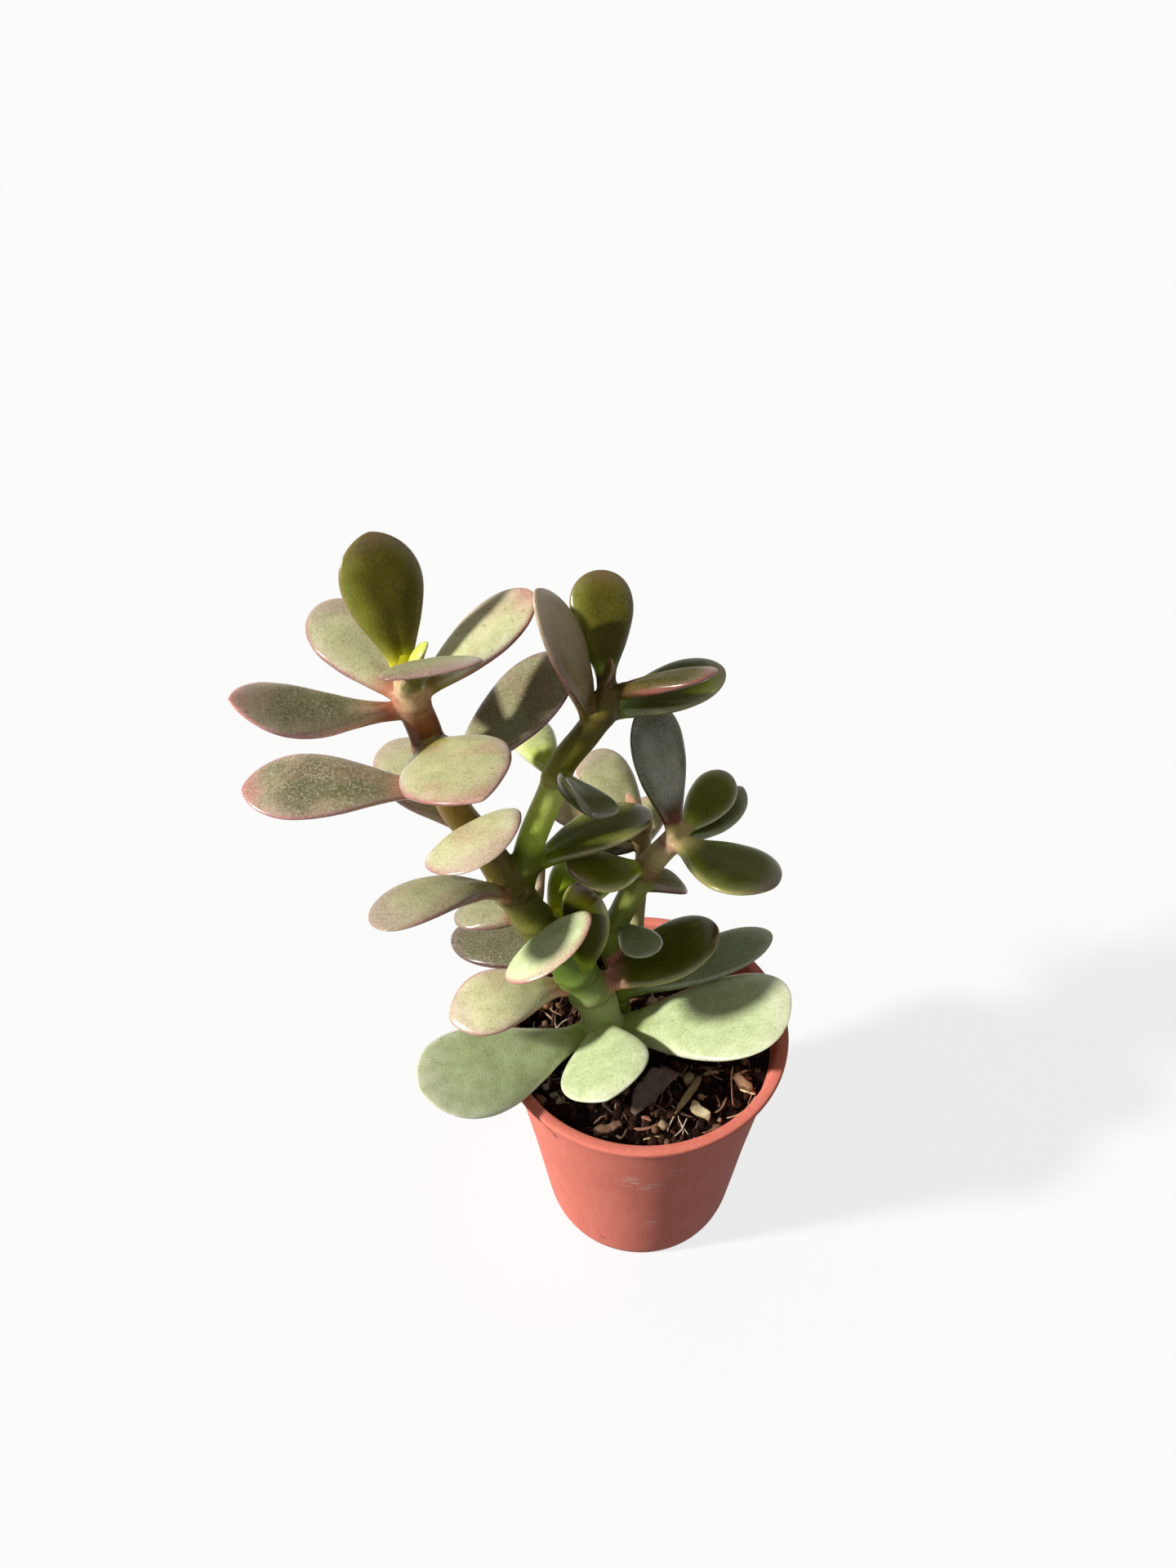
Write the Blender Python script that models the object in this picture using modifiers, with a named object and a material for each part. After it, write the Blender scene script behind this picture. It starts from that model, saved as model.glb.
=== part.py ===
"""Potted silver jade plant.

A branching succulent with thick spoon-shaped leaves grows in compost in a
small tapered nursery pot. Lengths in the tables are millimetres, and the
meshes are built in metres. The origin is the centre of the pot's foot on the
ground, with +Z up.
"""
import math
from typing import NamedTuple

import bmesh
import bpy
from mathutils import Matrix, Vector

MM = 0.001
GAP = 0.3                 # clearance between pieces that touch

# Pot: a tapered cup with a flat rim that turns outwards
POT_HEIGHT = 53.0
RIM_RADIUS = 27.5         # outer edge of the rim
MOUTH_RADIUS = 25.6       # inner edge of the rim
RIM_THICKNESS = 1.2
WALL = 1.0
FLOOR = 1.4
FOOT_RADIUS = 18.2
POT_SIDES = 48
# (radius, height) down the outside of the wall, below the rim
POT_OUTSIDE = ((26.0, 51.2), (25.1, 46.5), (24.0, 38.0), (22.2, 25.0), (20.4, 10.0), (19.5, 3.0),
               (18.9, 0.8))
DRAIN_HOLES = 6
DRAIN_RADIUS = 2.0
DRAIN_CIRCLE = 11.5       # radius of the circle that the drain holes lie on
DRAIN_SIDES = 16
DRAIN_CUT = 8.0           # length of the tool that cuts a drain hole
MOUTH_LIP = (0.3, 0.4)    # the mouth's slanted edge: how far in and how far down
RIM_CHAMFER = 0.2
INNER_FILLET = 0.5        # slant at the foot of the wall's inside

MERGE_DISTANCE = 0.02     # closer points are made one

# Compost: fills the pot to a little below the rim
SOIL_TOP = 48.5
WALL_SLOPE = 0.2          # how fast the inside of the wall opens near the compost's top
SOIL_BUMP = 0.9           # the bumps lie below SOIL_TOP
SOIL_DIP = 0.5            # mean depth of the uneven top, as a share of SOIL_BUMP
SOIL_WAVE = 0.3           # how much the waves deepen or lift it
FLAT_RADIUS = 4.5         # the top is level this close to a stem
FLAT_BLEND = 4.0          # and grows uneven over this distance
SOIL_SIDES = 32
SOIL_RINGS = 7

LEAF_STATIONS = 11        # rings along a leaf
LEAF_SIDES = 10           # points around a leaf
LEAF_THICKNESS = 3.2
PETIOLE_SHARE = 0.30      # width of the petiole as a share of the blade's
PETIOLE_TAPER = 1.5       # how fast the petiole's band narrows towards the tip
BASE_ROUNDING = 0.05      # share of a leaf's length over which its base is rounded
SWELL = 0.25              # share of the thickness that comes and goes along a leaf
SWELL_REACH = 1.2         # above 1 the thickest place lies nearer the base
ROOT_DEPTH = 0.6          # how far out of the stem's axis a leaf starts, in stem radii
STEM_SIDES_RESOLUTION = 2

SCRAP_SIDES = 10
SCRAP_RINGS = 7
SCRAP_SQUARENESS = 0.7    # below 1 a scrap is boxier than a ball
SCRAP_TAPER = 0.75        # how much a fully pointed scrap narrows at its ends


class Stem(NamedTuple):
    """A stem or branch: points along its axis and its radius at each."""
    name: str
    points: tuple
    radii: tuple


class Leaf(NamedTuple):
    """A leaf on a stem.

    It leaves the stem's axis at `height`, points along `azimuth` (0 is +X, 90
    is +Y) and climbs at `rise` degrees. `roll` turns it about its length,
    `arch` is the height of its bow and `cup` the lift of its edges, both as
    shares of its length and half width. `outline` holds the exponents of the
    base and the tip: a small tip exponent is round, a large one pointed.
    """
    name: str
    stem: str
    height: float
    azimuth: float
    rise: float
    length: float
    width: float
    roll: float = 0.0
    arch: float = 0.0
    cup: float = 0.0
    thick: float = LEAF_THICKNESS
    outline: tuple = (1.0, 0.55)


STEMS = (
    Stem("main_stem",
         ((-7.5, 2, 48.8), (-8, 2, 54), (-9, 2, 59), (-13, 2.5, 67.5), (-19, 3.5, 78), (-23, 4.5, 86.5)),
         (3.6, 3.8, 3.9, 3.7, 3.4, 3.3)),
    Stem("left_branch",
         ((-23.3, 4.8, 87.3), (-27.5, 5, 97.5), (-31.5, 4.5, 106.5), (-33.5, 4, 117), (-34.5, 3.5, 124),
          (-35.5, 3, 129), (-36, 3, 133.5)),
         (3.1, 2.7, 2.6, 2.6, 2.6, 2.5, 1.9)),
    Stem("right_branch",
         ((-22.5, 6, 87.5), (-19.5, 7, 95.5), (-16, 8, 105), (-13.5, 8.5, 112), (-9.7, 9, 117.5),
          (-6.8, 9.5, 122.5), (-6, 10, 126.5)),
         (2.6, 2.5, 2.4, 2.3, 2.3, 2.2, 1.7)),
    Stem("rear_stem",
         ((-3.6, 6.8, 48.8), (-4.5, 7, 58), (-6, 8.5, 68), (-3.7, 9, 75.5), (0.6, 10, 85.3),
          (3.4, 10.5, 89.5), (6.4, 11, 92.7)),
         (1.8, 1.8, 2.0, 2.3, 2.4, 2.2, 2.0)),
    Stem("back_stem",
         ((-1, 17, 48.8), (-0.5, 17.5, 64.5), (0.3, 18, 80), (0.6, 18, 89.5)),
         (1.6, 1.5, 1.4, 1.3)),
)

LEAVES = (
    # left branch, from the growing tip down
    Leaf("left_leaf_1", "left_branch", 133, 114, 63, 21.5, 12.2, outline=(1.3, 0.65)),
    Leaf("left_leaf_2", "left_branch", 129, 130, 16, 23, 13.2),
    Leaf("left_leaf_3", "left_branch", 128.5, 203, 22, 26, 11.3, roll=8, arch=-0.06, outline=(1.6, 0.75)),
    Leaf("left_leaf_4", "left_branch", 130, 36, 25, 23, 9.8, roll=-6),
    Leaf("left_leaf_5", "left_branch", 132, 297, 41.5, 17.6, 14.6, roll=6.5, arch=0.12, thick=2.8,
         outline=(2.2, 0.5)),
    Leaf("left_leaf_6", "left_branch", 133.2, 15, 66, 6.5, 3.5, roll=8, arch=0.1, thick=2.2),
    Leaf("left_leaf_7", "left_branch", 130.8, 76, 47, 5.8, 1.8, roll=32, thick=1.3),
    Leaf("left_leaf_8", "left_branch", 110.5, 180, 2, 31.2, 12.5, roll=15, arch=0.03, outline=(1.5, 0.67)),
    Leaf("left_leaf_9", "left_branch", 121, 294, 19.5, 24.8, 16.7, roll=-9, arch=0.04, outline=(0.9, 0.8)),
    Leaf("left_leaf_10", "left_branch", 100, 130, 10, 24, 14),
    Leaf("left_leaf_11", "left_branch", 112.5, 28.5, 34.5, 26.6, 12.9, roll=-7, cup=0.1),
    # around the fork
    Leaf("fork_leaf_1", "left_branch", 97, 275, 39, 21, 17, roll=-25, arch=0.22, cup=-0.06),
    Leaf("fork_leaf_2", "main_stem", 86.5, 225, 27.5, 29.5, 13, roll=-15, arch=0.13, outline=(0.9, 0.45)),
    Leaf("fork_leaf_3", "main_stem", 79, 91, 16, 16, 6, roll=60, thick=2.5),
    Leaf("fork_leaf_4", "right_branch", 90.5, 21, 13, 22.7, 11.8, roll=10, arch=0.06),
    Leaf("fork_leaf_5", "main_stem", 80, 159, -15, 14, 8),
    Leaf("fork_leaf_6", "main_stem", 75, 54, 15, 18.5, 14.5, roll=13, arch=0.12),
    # right branch
    Leaf("right_leaf_1", "right_branch", 108.5, 112, 1, 17, 8),
    Leaf("right_leaf_2", "right_branch", 110, 294, 8, 12.5, 11.5, roll=42, cup=0.38),
    Leaf("right_leaf_3", "right_branch", 120, 168, 71.5, 24, 10, roll=9, arch=0.06, outline=(1.0, 0.65)),
    Leaf("right_leaf_4", "right_branch", 126, 94, 50, 17.7, 10.0, outline=(1.1, 0.5)),
    Leaf("right_leaf_5", "right_branch", 126.2, 30, 78, 5.3, 2.6, roll=8, thick=1.6),
    Leaf("right_leaf_6", "right_branch", 125.5, 338, 27, 18, 6.4, roll=10),
    Leaf("right_leaf_7", "right_branch", 121.5, 21, 9, 20.5, 10.2, roll=-6),
    # rear stem
    Leaf("rear_leaf_1", "rear_stem", 92.5, 117, 65, 24, 10),
    Leaf("rear_leaf_2", "rear_stem", 92.7, 54, 6, 16.5, 8.1, roll=-24),
    Leaf("rear_leaf_3", "rear_stem", 91, 50, -7, 22.3, 9.4, arch=-0.04, thick=2.8, outline=(1.0, 0.7)),
    Leaf("rear_leaf_4", "rear_stem", 92, 316, 10, 20.5, 13.8, roll=7, outline=(1.0, 0.6)),
    Leaf("rear_leaf_5", "rear_stem", 81, 26, -26, 10, 6.5, arch=0.15),
    Leaf("rear_leaf_6", "rear_stem", 85.5, 208, 22, 15.5, 10.8, thick=2.8),
    # back stem
    Leaf("back_leaf_1", "back_stem", 88.2, 133, 31, 16.3, 11, outline=(1.0, 0.45)),
    Leaf("back_leaf_2", "back_stem", 85.2, 159, 7, 17.7, 8.8, arch=0.06),
    Leaf("back_leaf_3", "back_stem", 89.6, 173, 71, 6.9, 2.3, roll=-72, arch=-0.06, thick=1.4),
    Leaf("back_leaf_4", "back_stem", 82.5, 81, 13, 11, 7),
    Leaf("back_leaf_5", "back_stem", 83, 173, -5, 7.8, 4.8, thick=2.5),
    # young leaves low on the stems
    Leaf("shoot_leaf_1", "main_stem", 66.5, 316, 89, 22.7, 9.6, roll=78),
    Leaf("shoot_leaf_2", "rear_stem", 72.5, 302, 16, 11, 7.5),
    # lower main stem
    Leaf("lower_leaf_1", "main_stem", 73.5, 274, 42, 18.5, 18, roll=-34, arch=0.21, cup=-0.08),
    Leaf("lower_leaf_2", "main_stem", 64, 201, 4.7, 23.5, 12.4, roll=12, arch=0.14, outline=(1.5, 0.7)),
    Leaf("lower_leaf_3", "main_stem", 61, 13, 24, 24.5, 13),
    Leaf("lower_leaf_4", "rear_stem", 54, 10, 20, 30.5, 10),
    Leaf("lower_leaf_5", "main_stem", 68.5, 151, -9, 24, 12),
    # just above the compost
    Leaf("base_leaf_1", "main_stem", 50.6, 214.5, 18, 38, 18.2, roll=10, outline=(1.5, 0.6)),
    Leaf("base_leaf_2", "main_stem", 54.2, 271.5, 13, 20.5, 17.2, roll=-23, outline=(1.2, 0.75)),
    Leaf("base_leaf_3", "main_stem", 50, 346, 25, 35.8, 20, outline=(1.0, 0.42)),
)


class Debris(NamedTuple):
    """A flat scrap that lies on the compost: where it lies and how it is bent."""
    name: str
    place: tuple          # x, y of its middle
    azimuth: float
    length: float
    width: float
    thick: float
    bow: float = 0.0      # how far its middle stands above its ends
    point: float = 1.0    # 0 is a square end, 1 is a pointed one


DEBRIS = (
    Debris("dead_leaf", (2.0, -12.0), 43, 12.5, 5.0, 0.7, bow=1.2, point=0.7),
    Debris("straw_blade", (7.7, -13.3), 59, 9.0, 1.6, 0.5, bow=0.4, point=0.8),
    Debris("pale_chip", (11.4, -16.4), -60, 3.6, 2.2, 0.8, point=0.4),
    Debris("bark_chip_front", (-7.2, -19.8), 17, 5.5, 2.2, 1.1, point=0.3),
    Debris("bark_chip_right", (18.2, -10.8), -50, 4.5, 2.4, 1.1, point=0.3),
)

# base colour and roughness of each kind of piece
COLOURS = {
    "pot": ((0.66, 0.17, 0.11), 0.42),
    "soil": ((0.035, 0.025, 0.02), 0.95),
    "stem": ((0.22, 0.30, 0.07), 0.5),
    "leaf": ((0.35, 0.42, 0.20), 0.45),
    "dead_leaf": ((0.20, 0.15, 0.11), 0.8),
    "straw_blade": ((0.50, 0.36, 0.22), 0.7),
    "pale_chip": ((0.55, 0.47, 0.38), 0.8),
    "bark_chip_front": ((0.16, 0.09, 0.06), 0.85),
    "bark_chip_right": ((0.30, 0.18, 0.11), 0.85),
}


# --- scene and small helpers ---

def clear_scene():
    """Empty the scene of the objects that a new file starts with."""
    for obj in list(bpy.data.objects):
        bpy.data.objects.remove(obj, do_unlink=True)


def make_collection(name):
    """Add a collection to the scene."""
    collection = bpy.data.collections.new(name)
    bpy.context.scene.collection.children.link(collection)
    return collection


def add_material(obj, colour, roughness):
    """Give an object its own Principled material."""
    material = bpy.data.materials.new(obj.name + "_material")
    material.use_nodes = True
    shader = material.node_tree.nodes["Principled BSDF"]
    shader.inputs["Base Color"].default_value = (*colour, 1.0)
    shader.inputs["Roughness"].default_value = roughness
    obj.data.materials.clear()
    obj.data.materials.append(material)


def place_mesh(bm, name, collection):
    """Turn a bmesh into a smooth object of the given collection, faces out."""
    bmesh.ops.recalc_face_normals(bm, faces=bm.faces)
    if bm.calc_volume(signed=True) < 0.0:
        bmesh.ops.reverse_faces(bm, faces=bm.faces)
    mesh = bpy.data.meshes.new(name)
    bm.to_mesh(mesh)
    bm.free()
    mesh.shade_smooth()
    obj = bpy.data.objects.new(name, mesh)
    collection.objects.link(obj)
    return obj


def cut(obj, cutter):
    """Subtract a cutter from an object with an exact Boolean."""
    boolean = obj.modifiers.new("cut_" + cutter.name, "BOOLEAN")
    boolean.operation = "DIFFERENCE"
    boolean.solver = "EXACT"
    boolean.object = cutter


def world_box(obj):
    """Lowest and highest corner of an object's bounding box in the world."""
    corners = [obj.matrix_world @ Vector(corner) for corner in obj.bound_box]
    low = Vector([min(corner[axis] for corner in corners) for axis in range(3)])
    high = Vector([max(corner[axis] for corner in corners) for axis in range(3)])
    return low, high


def touches(obj, other):
    """True if the bounding boxes of two objects meet."""
    low, high = world_box(obj)
    other_low, other_high = world_box(other)
    return all(low[axis] < other_high[axis] and other_low[axis] < high[axis] for axis in range(3))


def add_turned(section, sides, name, collection):
    """Turn a closed section about the vertical axis with a Screw modifier.

    The section is a list of (radius, height) points that runs down the outer
    side. The stretch that lies on the axis is left out.
    """
    bm = bmesh.new()
    ring = [bm.verts.new((radius * MM, 0.0, height * MM)) for radius, height in section]
    for a, b in zip(ring, ring[1:] + ring[:1]):
        if max(a.co.x, b.co.x) > 0.0:
            bm.edges.new((a, b))
    mesh = bpy.data.meshes.new(name)
    bm.to_mesh(mesh)
    bm.free()
    obj = bpy.data.objects.new(name, mesh)
    collection.objects.link(obj)
    screw = obj.modifiers.new("turn", "SCREW")
    screw.steps = sides
    screw.render_steps = sides
    screw.use_merge_vertices = True
    screw.merge_threshold = MERGE_DISTANCE * MM
    screw.use_smooth_shade = True
    return obj


def evaluated_mesh(obj):
    """A new mesh of an object as its modifiers leave it."""
    graph = bpy.context.evaluated_depsgraph_get()
    return bpy.data.meshes.new_from_object(obj.evaluated_get(graph))


# --- stems ---

def add_stem(stem, grow, collection, name):
    """A tube along a stem's points, `grow` mm fatter than the stem all round."""
    curve = bpy.data.curves.new(name, "CURVE")
    curve.dimensions = "3D"
    curve.bevel_depth = MM
    curve.bevel_resolution = STEM_SIDES_RESOLUTION
    curve.use_fill_caps = True
    spline = curve.splines.new("POLY")
    spline.points.add(len(stem.points) - 1)
    for knot, point, radius in zip(spline.points, stem.points, stem.radii):
        knot.co = (*(Vector(point) * MM), 1.0)
        knot.radius = radius + grow
    holder = bpy.data.objects.new(name + "_curve", curve)
    collection.objects.link(holder)
    mesh = evaluated_mesh(holder)
    bm = bmesh.new()
    bm.from_mesh(mesh)
    bmesh.ops.remove_doubles(bm, verts=bm.verts, dist=MERGE_DISTANCE * MM)
    tube = place_mesh(bm, name, collection)
    tube.matrix_world = holder.matrix_world
    bpy.data.meshes.remove(mesh)
    bpy.data.objects.remove(holder, do_unlink=True)
    return tube


def stem_at(stem, height):
    """Point, radius and direction of a stem's axis where it passes a height."""
    points = [Vector(point) for point in stem.points]
    last = len(points) - 2
    for i in range(len(points) - 1):
        if height <= points[i + 1].z or i == last:
            share = (height - points[i].z) / (points[i + 1].z - points[i].z)
            share = min(max(share, 0.0), 1.0)
            radius = stem.radii[i] + share * (stem.radii[i + 1] - stem.radii[i])
            return points[i].lerp(points[i + 1], share), radius, (points[i + 1] - points[i]).normalized()


# --- leaves ---

def leaf_place(leaf, stem):
    """Matrix that sets a leaf on its stem.

    The leaf's own +Y runs along it, +X across it and +Z out of its upper face.
    """
    azimuth = math.radians(leaf.azimuth)
    rise = math.radians(leaf.rise)
    flat = Vector((math.cos(azimuth), math.sin(azimuth), 0.0))
    along = flat * math.cos(rise) + Vector((0.0, 0.0, math.sin(rise)))
    axis, radius, direction = stem_at(stem, leaf.height)
    outward = (along - direction * along.dot(direction)).normalized()
    base = (axis + outward * radius * ROOT_DEPTH) * MM
    turn = Matrix.Rotation(azimuth - math.pi / 2, 4, "Z") @ Matrix.Rotation(rise, 4, "X")
    return Matrix.Translation(base) @ turn @ Matrix.Rotation(-math.radians(leaf.roll), 4, "Y")


def leaf_section(leaf, t):
    """Half width and half thickness at a share t of a leaf's length.

    The petiole is a band that narrows towards the tip. The blade is widest
    where the two exponents of the outline balance.
    """
    a, b = leaf.outline
    widest = a / (a + b)
    peak = widest ** a * (1.0 - widest) ** b
    end = math.sqrt(max(0.0, 1.0 - (1.0 - min(t / BASE_ROUNDING, 1.0)) ** 2))
    blade = t ** a * (1.0 - t) ** b / peak
    petiole = PETIOLE_SHARE * end * (1.0 - t) ** PETIOLE_TAPER
    half_width = leaf.width / 2 * math.sqrt(petiole ** 2 + blade ** 2)
    swell = 1.0 - SWELL + SWELL * math.sin(math.pi * min(t * SWELL_REACH, 1.0))
    half_thick = leaf.thick / 2 * end * math.sqrt(max(0.0, 1.0 - t ** 3)) * swell
    return half_width, half_thick


def add_leaf(leaf, stem, collection):
    """A leaf: a sphere whose rings are drawn out along +Y to the leaf's sections.

    The sphere's rings are spaced by angle, which packs the leaf's sections
    close together at both ends.
    """
    bm = bmesh.new()
    bmesh.ops.create_uvsphere(bm, u_segments=LEAF_SIDES, v_segments=LEAF_STATIONS, radius=1.0)
    for vert in bm.verts:
        t = min(max((1.0 + vert.co.z) / 2.0, 0.0), 1.0)
        half_width, half_thick = leaf_section(leaf, t)
        reach = max(math.hypot(vert.co.x, vert.co.y), 1e-6)
        side = vert.co.x / reach
        lift = vert.co.y / reach
        bow = leaf.arch * leaf.length * 4.0 * t * (1.0 - t)
        height = half_thick * lift + leaf.cup * half_width * side ** 2 + bow
        vert.co = Vector((half_width * side, leaf.length * t, height)) * MM
    obj = place_mesh(bm, leaf.name, collection)
    obj.matrix_world = leaf_place(leaf, stem)
    return obj


# --- pot and compost ---

def inner_wall():
    """(radius, height) up the inside of the pot's wall, from the floor to the rim."""
    side = [(radius - WALL, height) for radius, height in reversed(POT_OUTSIDE[1:-1])]
    return [(side[0][0] - INNER_FILLET, FLOOR)] + side


def add_pot(collection, cutters):
    """The pot: its section swept round the axis, with drain holes in the floor.

    The section runs from the mouth over the rim, down the outside, across
    the foot and back up the inside.
    """
    under_rim = POT_HEIGHT - RIM_THICKNESS
    section = [(MOUTH_RADIUS - MOUTH_LIP[0], POT_HEIGHT - MOUTH_LIP[1]), (MOUTH_RADIUS, POT_HEIGHT)]
    section += [(RIM_RADIUS - RIM_CHAMFER, POT_HEIGHT), (RIM_RADIUS, POT_HEIGHT - RIM_CHAMFER)]
    section += [(RIM_RADIUS, under_rim + RIM_CHAMFER), (RIM_RADIUS - RIM_CHAMFER, under_rim)]
    section += list(POT_OUTSIDE) + [(FOOT_RADIUS, 0.0), (0.0, 0.0), (0.0, FLOOR)] + inner_wall()
    pot = add_turned(section, POT_SIDES, "pot", collection)
    for i in range(DRAIN_HOLES):
        angle = math.tau * (i + 0.5) / DRAIN_HOLES
        x = DRAIN_CIRCLE * MM * math.cos(angle)
        y = DRAIN_CIRCLE * MM * math.sin(angle)
        bpy.ops.mesh.primitive_cylinder_add(vertices=DRAIN_SIDES, radius=DRAIN_RADIUS * MM,
                                            depth=DRAIN_CUT * MM, location=(x, y, 0))
        hole = bpy.context.object
        hole.name = f"drain_cutter_{i + 1}"
        for holder in list(hole.users_collection):
            holder.objects.unlink(hole)
        cutters.objects.link(hole)
        cut(pot, hole)
    return pot


def soil_wave(x, y):
    """Unevenness of the compost at a place, from two crossing waves and a slanting one."""
    crossing = math.sin(0.9 * x + 0.4) * math.sin(0.8 * y + 1.1)
    slanting = math.sin(0.5 * x - 1.3 * y)
    return crossing + 0.6 * slanting


def add_soil(collection):
    """The compost: it fills the pot and its top is gently uneven.

    The top is level close to each stem, so that the stems stand on it.
    """
    wall = [(radius - GAP, height) for radius, height in inner_wall()]
    edge = wall[-1][0] + (SOIL_TOP - wall[-1][1]) * WALL_SLOPE
    section = [(edge * i / SOIL_RINGS, SOIL_TOP) for i in range(SOIL_RINGS + 1)]
    section += list(reversed(wall[1:])) + [(wall[0][0], FLOOR + GAP), (0.0, FLOOR + GAP)]
    pattern = add_turned(section, SOIL_SIDES, "soil_pattern", collection)
    soil = bpy.data.objects.new("soil", evaluated_mesh(pattern))
    collection.objects.link(soil)
    bpy.data.objects.remove(pattern, do_unlink=True)
    feet = [Vector(stem.points[0][:2]) for stem in STEMS if stem.points[0][2] < POT_HEIGHT]
    for vert in soil.data.vertices:
        if vert.co.z < (SOIL_TOP - GAP) * MM:
            continue
        x, y = vert.co.x / MM, vert.co.y / MM
        near = min((Vector((x, y)) - foot).length for foot in feet)
        share = min(max((near - FLAT_RADIUS) / FLAT_BLEND, 0.0), 1.0)
        vert.co.z -= SOIL_BUMP * MM * share * (SOIL_DIP + SOIL_WAVE * soil_wave(x, y))
    return soil


def add_debris(scrap, collection):
    """A scrap lying on the compost: a sphere squared off into a bowed flake."""
    bm = bmesh.new()
    bmesh.ops.create_uvsphere(bm, u_segments=SCRAP_SIDES, v_segments=SCRAP_RINGS, radius=1.0)
    for vert in bm.verts:
        shares = (vert.co.z, vert.co.x, vert.co.y)
        length, width, height = (math.copysign(abs(share) ** SCRAP_SQUARENESS, share) for share in shares)
        taper = 1.0 - scrap.point * SCRAP_TAPER * length ** 2
        lift = height * scrap.thick / 2 + scrap.bow * (1.0 - length ** 2)
        vert.co = Vector((length * scrap.length / 2, width * taper * scrap.width / 2, lift)) * MM
    obj = place_mesh(bm, scrap.name, collection)
    obj.location = Vector((*scrap.place, SOIL_TOP + GAP + scrap.thick / 2)) * MM
    obj.rotation_euler.z = math.radians(scrap.azimuth)
    return obj


# --- assembly ---

def main():
    """Build every piece, then cut the leaves and the side branch clear of the stems."""
    clear_scene()
    parts = make_collection("potted_jade_plant")
    cutters = make_collection("cutters")

    pot = add_pot(parts, cutters)
    add_material(pot, *COLOURS["pot"])
    soil = add_soil(parts)
    add_material(soil, *COLOURS["soil"])

    stems = {}
    clearances = {}
    for stem in STEMS:
        stems[stem.name] = add_stem(stem, 0.0, parts, stem.name)
        clearances[stem.name] = add_stem(stem, GAP, cutters, stem.name + "_cutter")
        add_material(stems[stem.name], *COLOURS["stem"])
    for name in ("main_stem", "left_branch"):
        cut(stems["right_branch"], clearances[name])

    by_name = {stem.name: stem for stem in STEMS}
    for row in LEAVES:
        leaf = add_leaf(row, by_name[row.stem], parts)
        add_material(leaf, *COLOURS["leaf"])
        bpy.context.view_layer.update()
        for clearance in clearances.values():
            if touches(leaf, clearance):
                cut(leaf, clearance)

    for scrap in DEBRIS:
        add_material(add_debris(scrap, parts), *COLOURS[scrap.name])

    for cutter in cutters.objects:
        cutter.hide_render = True
        cutter.display_type = "WIRE"


if __name__ == "__main__":
    main()
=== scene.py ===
"""Looks of the potted silver jade plant.

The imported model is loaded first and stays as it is. Finer leaves, fused stems,
a moulded pot and crumbly compost are then built round it in the same frame.
Lengths in the tables are millimetres and every mesh is in metres.
"""
import logging
import math
import random
from dataclasses import dataclass, field
from enum import Enum

import bmesh
import bpy
import numpy as np
from mathutils import Matrix, Vector, noise


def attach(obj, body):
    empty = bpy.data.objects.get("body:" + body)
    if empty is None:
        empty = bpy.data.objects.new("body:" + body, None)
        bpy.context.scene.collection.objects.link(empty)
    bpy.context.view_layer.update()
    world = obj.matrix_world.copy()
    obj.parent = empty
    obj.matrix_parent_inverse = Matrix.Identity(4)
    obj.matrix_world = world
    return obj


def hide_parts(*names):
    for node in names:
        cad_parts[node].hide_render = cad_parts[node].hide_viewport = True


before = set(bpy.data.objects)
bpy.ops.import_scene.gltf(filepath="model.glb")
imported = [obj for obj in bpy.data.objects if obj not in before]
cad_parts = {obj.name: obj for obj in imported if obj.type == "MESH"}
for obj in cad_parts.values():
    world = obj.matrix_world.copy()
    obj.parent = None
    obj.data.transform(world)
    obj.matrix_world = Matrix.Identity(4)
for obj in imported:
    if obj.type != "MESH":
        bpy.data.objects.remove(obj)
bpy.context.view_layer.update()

LOG = logging.getLogger("jade_plant")
MM = 0.001
BODY = "root"
TINT = "tint"             # colour attribute that every painted mesh carries
BLOOM = "bloom"           # share of silvery speckle on a leaf
GLOSS = "gloss"           # weight of the waxy coat on a leaf
GAMMA = 2.2               # from a display colour to the linear one
MIX_ONE, MIX_TWO, MIX_RESULT = 6, 7, 2      # the colour sockets of a Mix node
Colour = tuple[float, float, float]


def shade(red: int, green: int, blue: int) -> Colour:
    """Turn a display colour into the linear one that a shader takes.

    Args:
        red: red as seen on a screen, 0 to 255.
        green: green as seen on a screen, 0 to 255.
        blue: blue as seen on a screen, 0 to 255.

    Returns:
        The linear colour.
    """
    return tuple((channel / 255.0) ** GAMMA for channel in (red, green, blue))


def ease(low: float, high: float, value: np.ndarray | float) -> np.ndarray | float:
    """Smooth step from 0 at `low` to 1 at `high`.

    Args:
        low: where the step starts.
        high: where the step ends.
        value: a number or an array.

    Returns:
        The step at each value.
    """
    share = np.clip((value - low) / (high - low), 0.0, 1.0)
    return share * share * (3.0 - 2.0 * share)


def blend(one: np.ndarray, two: Colour | np.ndarray, share: np.ndarray) -> np.ndarray:
    """Mix colours point by point.

    Args:
        one: colours, one row per point.
        two: one colour, or a row per point.
        share: how much of `two` each point takes.

    Returns:
        The mixed colours.
    """
    return one + (np.asarray(two) - one) * share[:, None]


# --- finishes ---

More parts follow.
